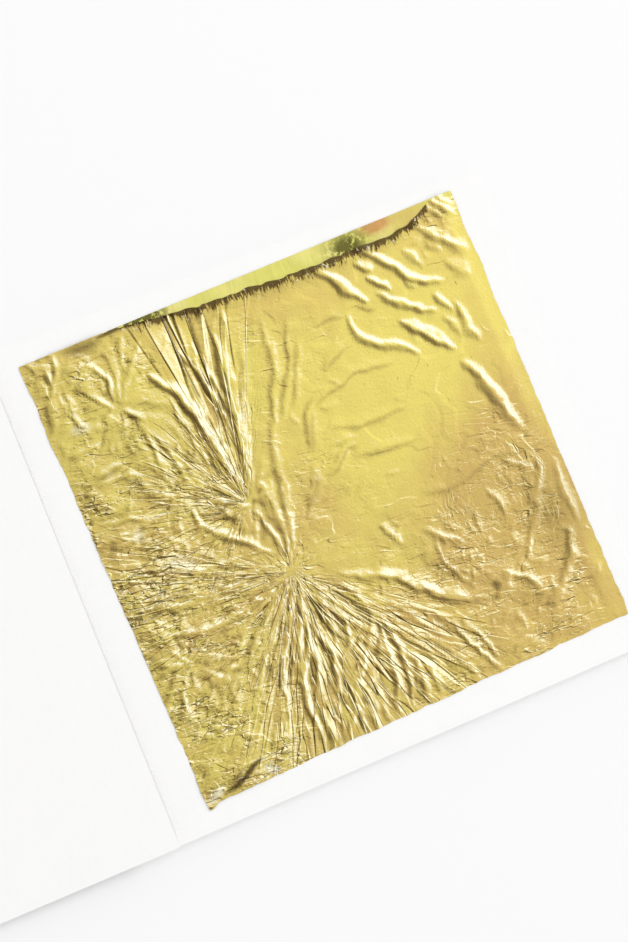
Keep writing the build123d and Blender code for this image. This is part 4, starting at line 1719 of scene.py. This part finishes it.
@dataclass
class SecondLeaf:
    """The smoother leaf under the top one, of which a strip shows along the head edge.

    side and thickness are in metres, the rest in millimetres.
    """

    side: float = LEAF_SIDE * MM
    thickness: float = 0.02 * MM
    cells: int = 120
    seed: int = 51
    inset: float = 0.5
    fore_inset: float = 0.4
    clear: float = 0.006
    seen: Zone = Zone(1.0, (16.0, 24.0), (76.4, 77.6))
    waves: tuple[float, float, float] = (0.1, 0.1, 0.05)
    corner: Patch = Patch(0.12, (76.0, 79.0), 4.0)
    rusty_corner: Patch = Patch(0.35, (72.0, 78.0), 4.0)

    def skin(self, u: np.ndarray, v: np.ndarray) -> np.ndarray:
        """Finds the upper skin's points.

        Args:
            u: Shares of the way along the foot edge.
            v: Shares of the way up from it.

        Returns:
            The points, in metres.
        """
        low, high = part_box("leaf_02")
        middle, half = (low + high) / 2 / MM, LEAF_SIDE / 2
        grain = Grain(self.seed)
        s = self.inset + u * (LEAF_SIDE - self.inset - self.fore_inset)
        t = self.inset + v * (LEAF_SIDE - self.inset)
        still, slow, quick = self.waves
        waves = still + slow * grain.at(s / 5.0, t / 2.2) + quick * grain.at(s / 1.4, t / 1.1)
        corner = self.corner.share(s, t) * (1.0 + grain.at(s / 1.2, t / 1.2))
        raised = self.seen.share(s, t) * (np.maximum(0.0, waves) + np.maximum(0.0, corner))
        x, y = skewed(s - half, t - half, middle)
        return np.stack([x, y, high.z / MM + self.clear + raised], axis=1) * MM

    def rust(self, u: np.ndarray, v: np.ndarray) -> np.ndarray:
        """Finds where the strip is reddish.

        Args:
            u: Shares of the way along the foot edge.
            v: Shares of the way up from it.

        Returns:
            How reddish each place is.
        """
        s, t = u * LEAF_SIDE, v * LEAF_SIDE
        return 1.3 * blob(s, (t - 79.0) * 2.0 + 79.0, (65.5, 80.0), 2.4) + self.rusty_corner.share(s, t)

    def shade(self, u: np.ndarray, v: np.ndarray) -> np.ndarray:
        """Finds where the strip is in deep shade: at its narrow start and by the torn edge.

        Args:
            u: Shares of the way along the foot edge.
            v: Shares of the way up from it.

        Returns:
            How shaded each place is.
        """
        s, t = u * LEAF_SIDE, v * LEAF_SIDE
        start = ease(s, 12.0, 14.5) * ease(s, 28.0, 23.0) * ease(t, 77.0, 78.5)
        return 1.5 * start + 1.3 * blob(s, (t - 78.0) * 1.4 + 78.0, (59.5, 77.6), 3.4)

    def build(self, finish: bpy.types.Material) -> bpy.types.Object:
        """Makes the leaf, dresses it and puts it on its body.

        Args:
            finish: The pressed gold.

        Returns:
            The leaf.
        """
        marks = {"rust": self.rust, "shade": self.shade}
        leaf = grid_sheet("second_gold_leaf", self.cells, self.skin, self.thickness, marks)
        leaf.data.materials.append(finish)
        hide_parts("leaf_02")
        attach(leaf, "second_leaf")
        return leaf


@dataclass
class OpenPage:
    """The tissue page that the loose leaves lie on. Its margins lift a little off the stack.

    width, height, thickness and inner are in metres, the rest in millimetres.
    """

    width: float = 90 * MM
    height: float = 88 * MM
    thickness: float = 0.036 * MM
    inner: float = -0.09 * MM
    clear: float = 0.002
    lift: float = 0.3
    foot_margin: float = 4.6
    fore_margin: float = 3.6
    fore_share: float = 0.15
    wave_size: float = 17.0
    wave: tuple[float, float] = (0.55, 0.5)
    cells: int = 120
    seed: int = 71

    def skin(self, u: np.ndarray, v: np.ndarray) -> np.ndarray:
        """Finds the upper skin's points.

        Args:
            u: Shares of the way from the crease to the fore-edge.
            v: Shares of the way from the foot to the head.

        Returns:
            The points, in metres.
        """
        low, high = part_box("tissue_03")
        x, y = self.inner + u * (high.x - self.inner), low.y + v * (high.y - low.y)
        foot = ease((y - low.y) / MM, self.foot_margin, 0.0)
        fore = ease((high.x - x) / MM, self.fore_margin, 0.0)
        grain = Grain(self.seed).at(x / MM / self.wave_size, y / MM / self.wave_size)
        wave = np.maximum(0.0, self.wave[0] + self.wave[1] * grain)
        raised = self.clear + self.lift * (foot + self.fore_share * fore) * wave
        return np.stack([x, y, high.z + raised * MM], axis=1)

    def build(self, finish: bpy.types.Material) -> bpy.types.Object:
        """Makes the page, dresses it and puts it on its body.

        Args:
            finish: The tissue.

        Returns:
            The page.
        """
        page = grid_sheet("open_tissue_page", self.cells, self.skin, self.thickness)
        page.data.materials.append(finish)
        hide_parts("tissue_03")
        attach(page, "page_03")
        return page


class Stuff(Enum):
    """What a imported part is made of, by the start of its node's name."""

    GOLD = "leaf"
    TISSUE = "tissue"
    WIRE = "staple"
    CARD = "cover"

    @classmethod
    def of(cls, node: str) -> "Stuff":
        """What the node of this name is made of: card, where its name says nothing else."""
        return next((stuff for stuff in cls if node.startswith(stuff.value)), cls.CARD)


@dataclass
class CarriedParts:
    """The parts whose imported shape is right: inner pages, pressed leaves, cover and staples."""

    finishes: dict[Stuff, bpy.types.Material]

    def dress(self, replaced: Sequence[str]) -> int:
        """Gives each of them its material.

        Args:
            replaced: The nodes that a new piece stands for.

        Returns:
            How many parts were dressed.
        """
        carried = {name: node for name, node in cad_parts.items() if name not in replaced}
        for name, node in carried.items():
            node.data.materials.clear()
            node.data.materials.append(self.finishes[Stuff.of(name)])
        return len(carried)


@dataclass
class Studio:
    """The pale table, the soft lamp, the dome that metal mirrors, and the camera."""

    table_half: float = 3.0
    table_drop: float = 0.02 * MM
    table_white: Colour = (0.95, 0.95, 0.955)
    table_roughness: float = 0.9
    shade_light: float = 0.82
    lamp_radiance: float = 2.68
    lamp_colour: Colour = (1.0, 0.985, 0.96)
    lamp_size: tuple[float, float] = (1.16, 0.92)
    lamp_aim: Place = (0.045, 0.0, 0.0)
    lamp_distance: float = 1.8
    lamp_lean: float = 44.0
    lamp_heading: float = 23.0
    dome_radius: float = 2.7
    dome_foot: float = 0.05
    dome_glow: float = 1.86
    dome_bright: Colour = (1.0, 0.99, 0.97)
    dome_middle: Colour = (0.60, 0.60, 0.60)
    dome_dark: Colour = (0.06, 0.045, 0.03)
    lens: float = 60.0
    sensor: float = 36.0
    clip: Range = (0.01, 20.0)
    camera_place: Place = (6.0795, 13.6166, 266.398)
    camera_right: Place = (0.918424, -0.368710, 0.143352)
    camera_up: Place = (0.368924, 0.929094, 0.026072)
    camera_back: Place = (-0.142801, 0.028941, 0.989328)

    def put(self, name: str, data: bpy.types.ID) -> bpy.types.Object:
        """Puts a new object into the scene.

        Args:
            name: Its name.
            data: Its mesh, lamp or camera.

        Returns:
            The object.
        """
        made = bpy.data.objects.new(name, data)
        bpy.context.scene.collection.objects.link(made)
        return made

    def table(self) -> None:
        """Makes a wide pale table under the cover."""
        work = bmesh.new()
        bmesh.ops.create_grid(work, x_segments=1, y_segments=1, size=self.table_half)
        bmesh.ops.translate(work, verts=work.verts, vec=(0.0, 0.0, -self.table_drop))
        mesh = bpy.data.meshes.new("table")
        work.to_mesh(mesh)
        work.free()
        table = self.put("table", mesh)
        bench = Bench.material("pale_table")
        inputs = {"Base Color": self.table_white, "Roughness": self.table_roughness}
        table.data.materials.append(bench.finish(inputs))

    def dome(self) -> None:
        """Makes a wide dome that only metal mirrors: bright on the lamp's side, brown on the far one.

        It gives each slope of the folds a tone of its own.
        """
        work = bmesh.new()
        bmesh.ops.create_uvsphere(work, u_segments=48, v_segments=24, radius=self.dome_radius)
        low = [v for v in work.verts if v.co.z < self.dome_foot]
        bmesh.ops.delete(work, geom=low, context="VERTS")
        for face in work.faces:
            face.smooth = True
        mesh = bpy.data.meshes.new("dome")
        work.to_mesh(mesh)
        work.free()
        dome = self.put("dome", mesh)
        bench = Bench.material("dome")
        heading = math.radians(self.lamp_heading)
        side = (math.cos(heading) / self.dome_radius, math.sin(heading) / self.dome_radius, 0.0)
        settings = {"operation": "DOT_PRODUCT"}
        reach = bench.value("ShaderNodeVectorMath", settings, {0: bench.place(), 1: side}, "Value")
        glow = bench.mix((0.0 - reach).held(), self.dome_middle, self.dome_dark)
        glow = bench.mix(reach.held(), glow, self.dome_bright)
        inputs = {"Base Color": (0.0, 0.0, 0.0), "Roughness": 1.0, "Specular IOR Level": 0.0,
                  "Emission Color": glow, "Emission Strength": self.dome_glow}
        dome.data.materials.append(bench.finish(inputs))
        dome.visible_camera = False
        dome.visible_shadow = False
        dome.visible_diffuse = False

    def lamp(self) -> None:
        """Makes one large soft lamp, towards the picture's upper right."""
        data = bpy.data.lights.new("soft_lamp", "AREA")
        data.shape = "RECTANGLE"
        data.size, data.size_y = self.lamp_size
        data.energy = self.lamp_radiance * math.pi * self.lamp_size[0] * self.lamp_size[1]
        data.color = self.lamp_colour
        lamp = self.put("soft_lamp", data)
        lean, heading = math.radians(self.lamp_lean), math.radians(self.lamp_heading)
        across = math.sin(lean)
        out = Vector((across * math.cos(heading), across * math.sin(heading), math.cos(lean)))
        lamp.location = Vector(self.lamp_aim) + out * self.lamp_distance
        lamp.rotation_mode = "QUATERNION"
        lamp.rotation_quaternion = (-out).to_track_quat("-Z", "Y")
        lamp.visible_glossy = False

    def world(self) -> None:
        """Makes it white all round for the camera and for what metal mirrors, and softer as light."""
        world = bpy.data.worlds.new("studio")
        bpy.context.scene.world = world
        bench = Bench(world)
        path = bench.node("ShaderNodeLightPath", {}, {}).outputs
        rays = ("Is Camera Ray", "Is Glossy Ray", "Is Transmission Ray")
        seen = bench.total([Value(bench, path[ray]) for ray in rays]).held()
        strength = self.shade_light + seen * (1.0 - self.shade_light)
        sky = bench.node("ShaderNodeBackground", {}, {"Color": (1.0, 1.0, 1.0), "Strength": strength})
        bench.node("ShaderNodeOutputWorld", {}, {"Surface": sky.outputs[0]})

    def camera(self) -> None:
        """Makes the camera, almost straight above, as in the photograph."""
        data = bpy.data.cameras.new("camera")
        data.lens, data.sensor_width = self.lens, self.sensor
        data.dof.use_dof = False
        data.clip_start, data.clip_end = self.clip
        camera = self.put("camera", data)
        axes = Matrix((self.camera_right, self.camera_up, self.camera_back)).transposed().to_4x4()
        camera.matrix_world = Matrix.Translation(Vector(self.camera_place) * MM) @ axes
        bpy.context.scene.camera = camera

    def build(self) -> None:
        """Sets the whole studio up."""
        self.table()
        self.dome()
        self.lamp()
        self.world()
        self.camera()
        bpy.context.scene.view_settings.view_transform = "Standard"


def main() -> None:
    """Builds the pieces in order and reports each."""
    logging.basicConfig(level=logging.INFO, format="%(name)s: %(message)s")
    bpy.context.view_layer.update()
    Studio().build()
    LOG.info("the studio is set up")
    pressed, tissue = PressedGoldFinish().material(), TissueFinish().material()
    for piece in (TopLeaf().build(), SecondLeaf().build(pressed), OpenPage().build(tissue)):
        LOG.info("%s has %d faces", piece.name, len(piece.data.polygons))
    finishes = {
        Stuff.GOLD: pressed,
        Stuff.TISSUE: tissue,
        Stuff.CARD: CardFinish().material(),
        Stuff.WIRE: WireFinish().material(),
    }
    count = CarriedParts(finishes).dress(["leaf_01", "leaf_02", "tissue_03"])
    LOG.info("%d carried parts are dressed", count)
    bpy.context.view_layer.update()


if __name__ == "__main__":
    main()
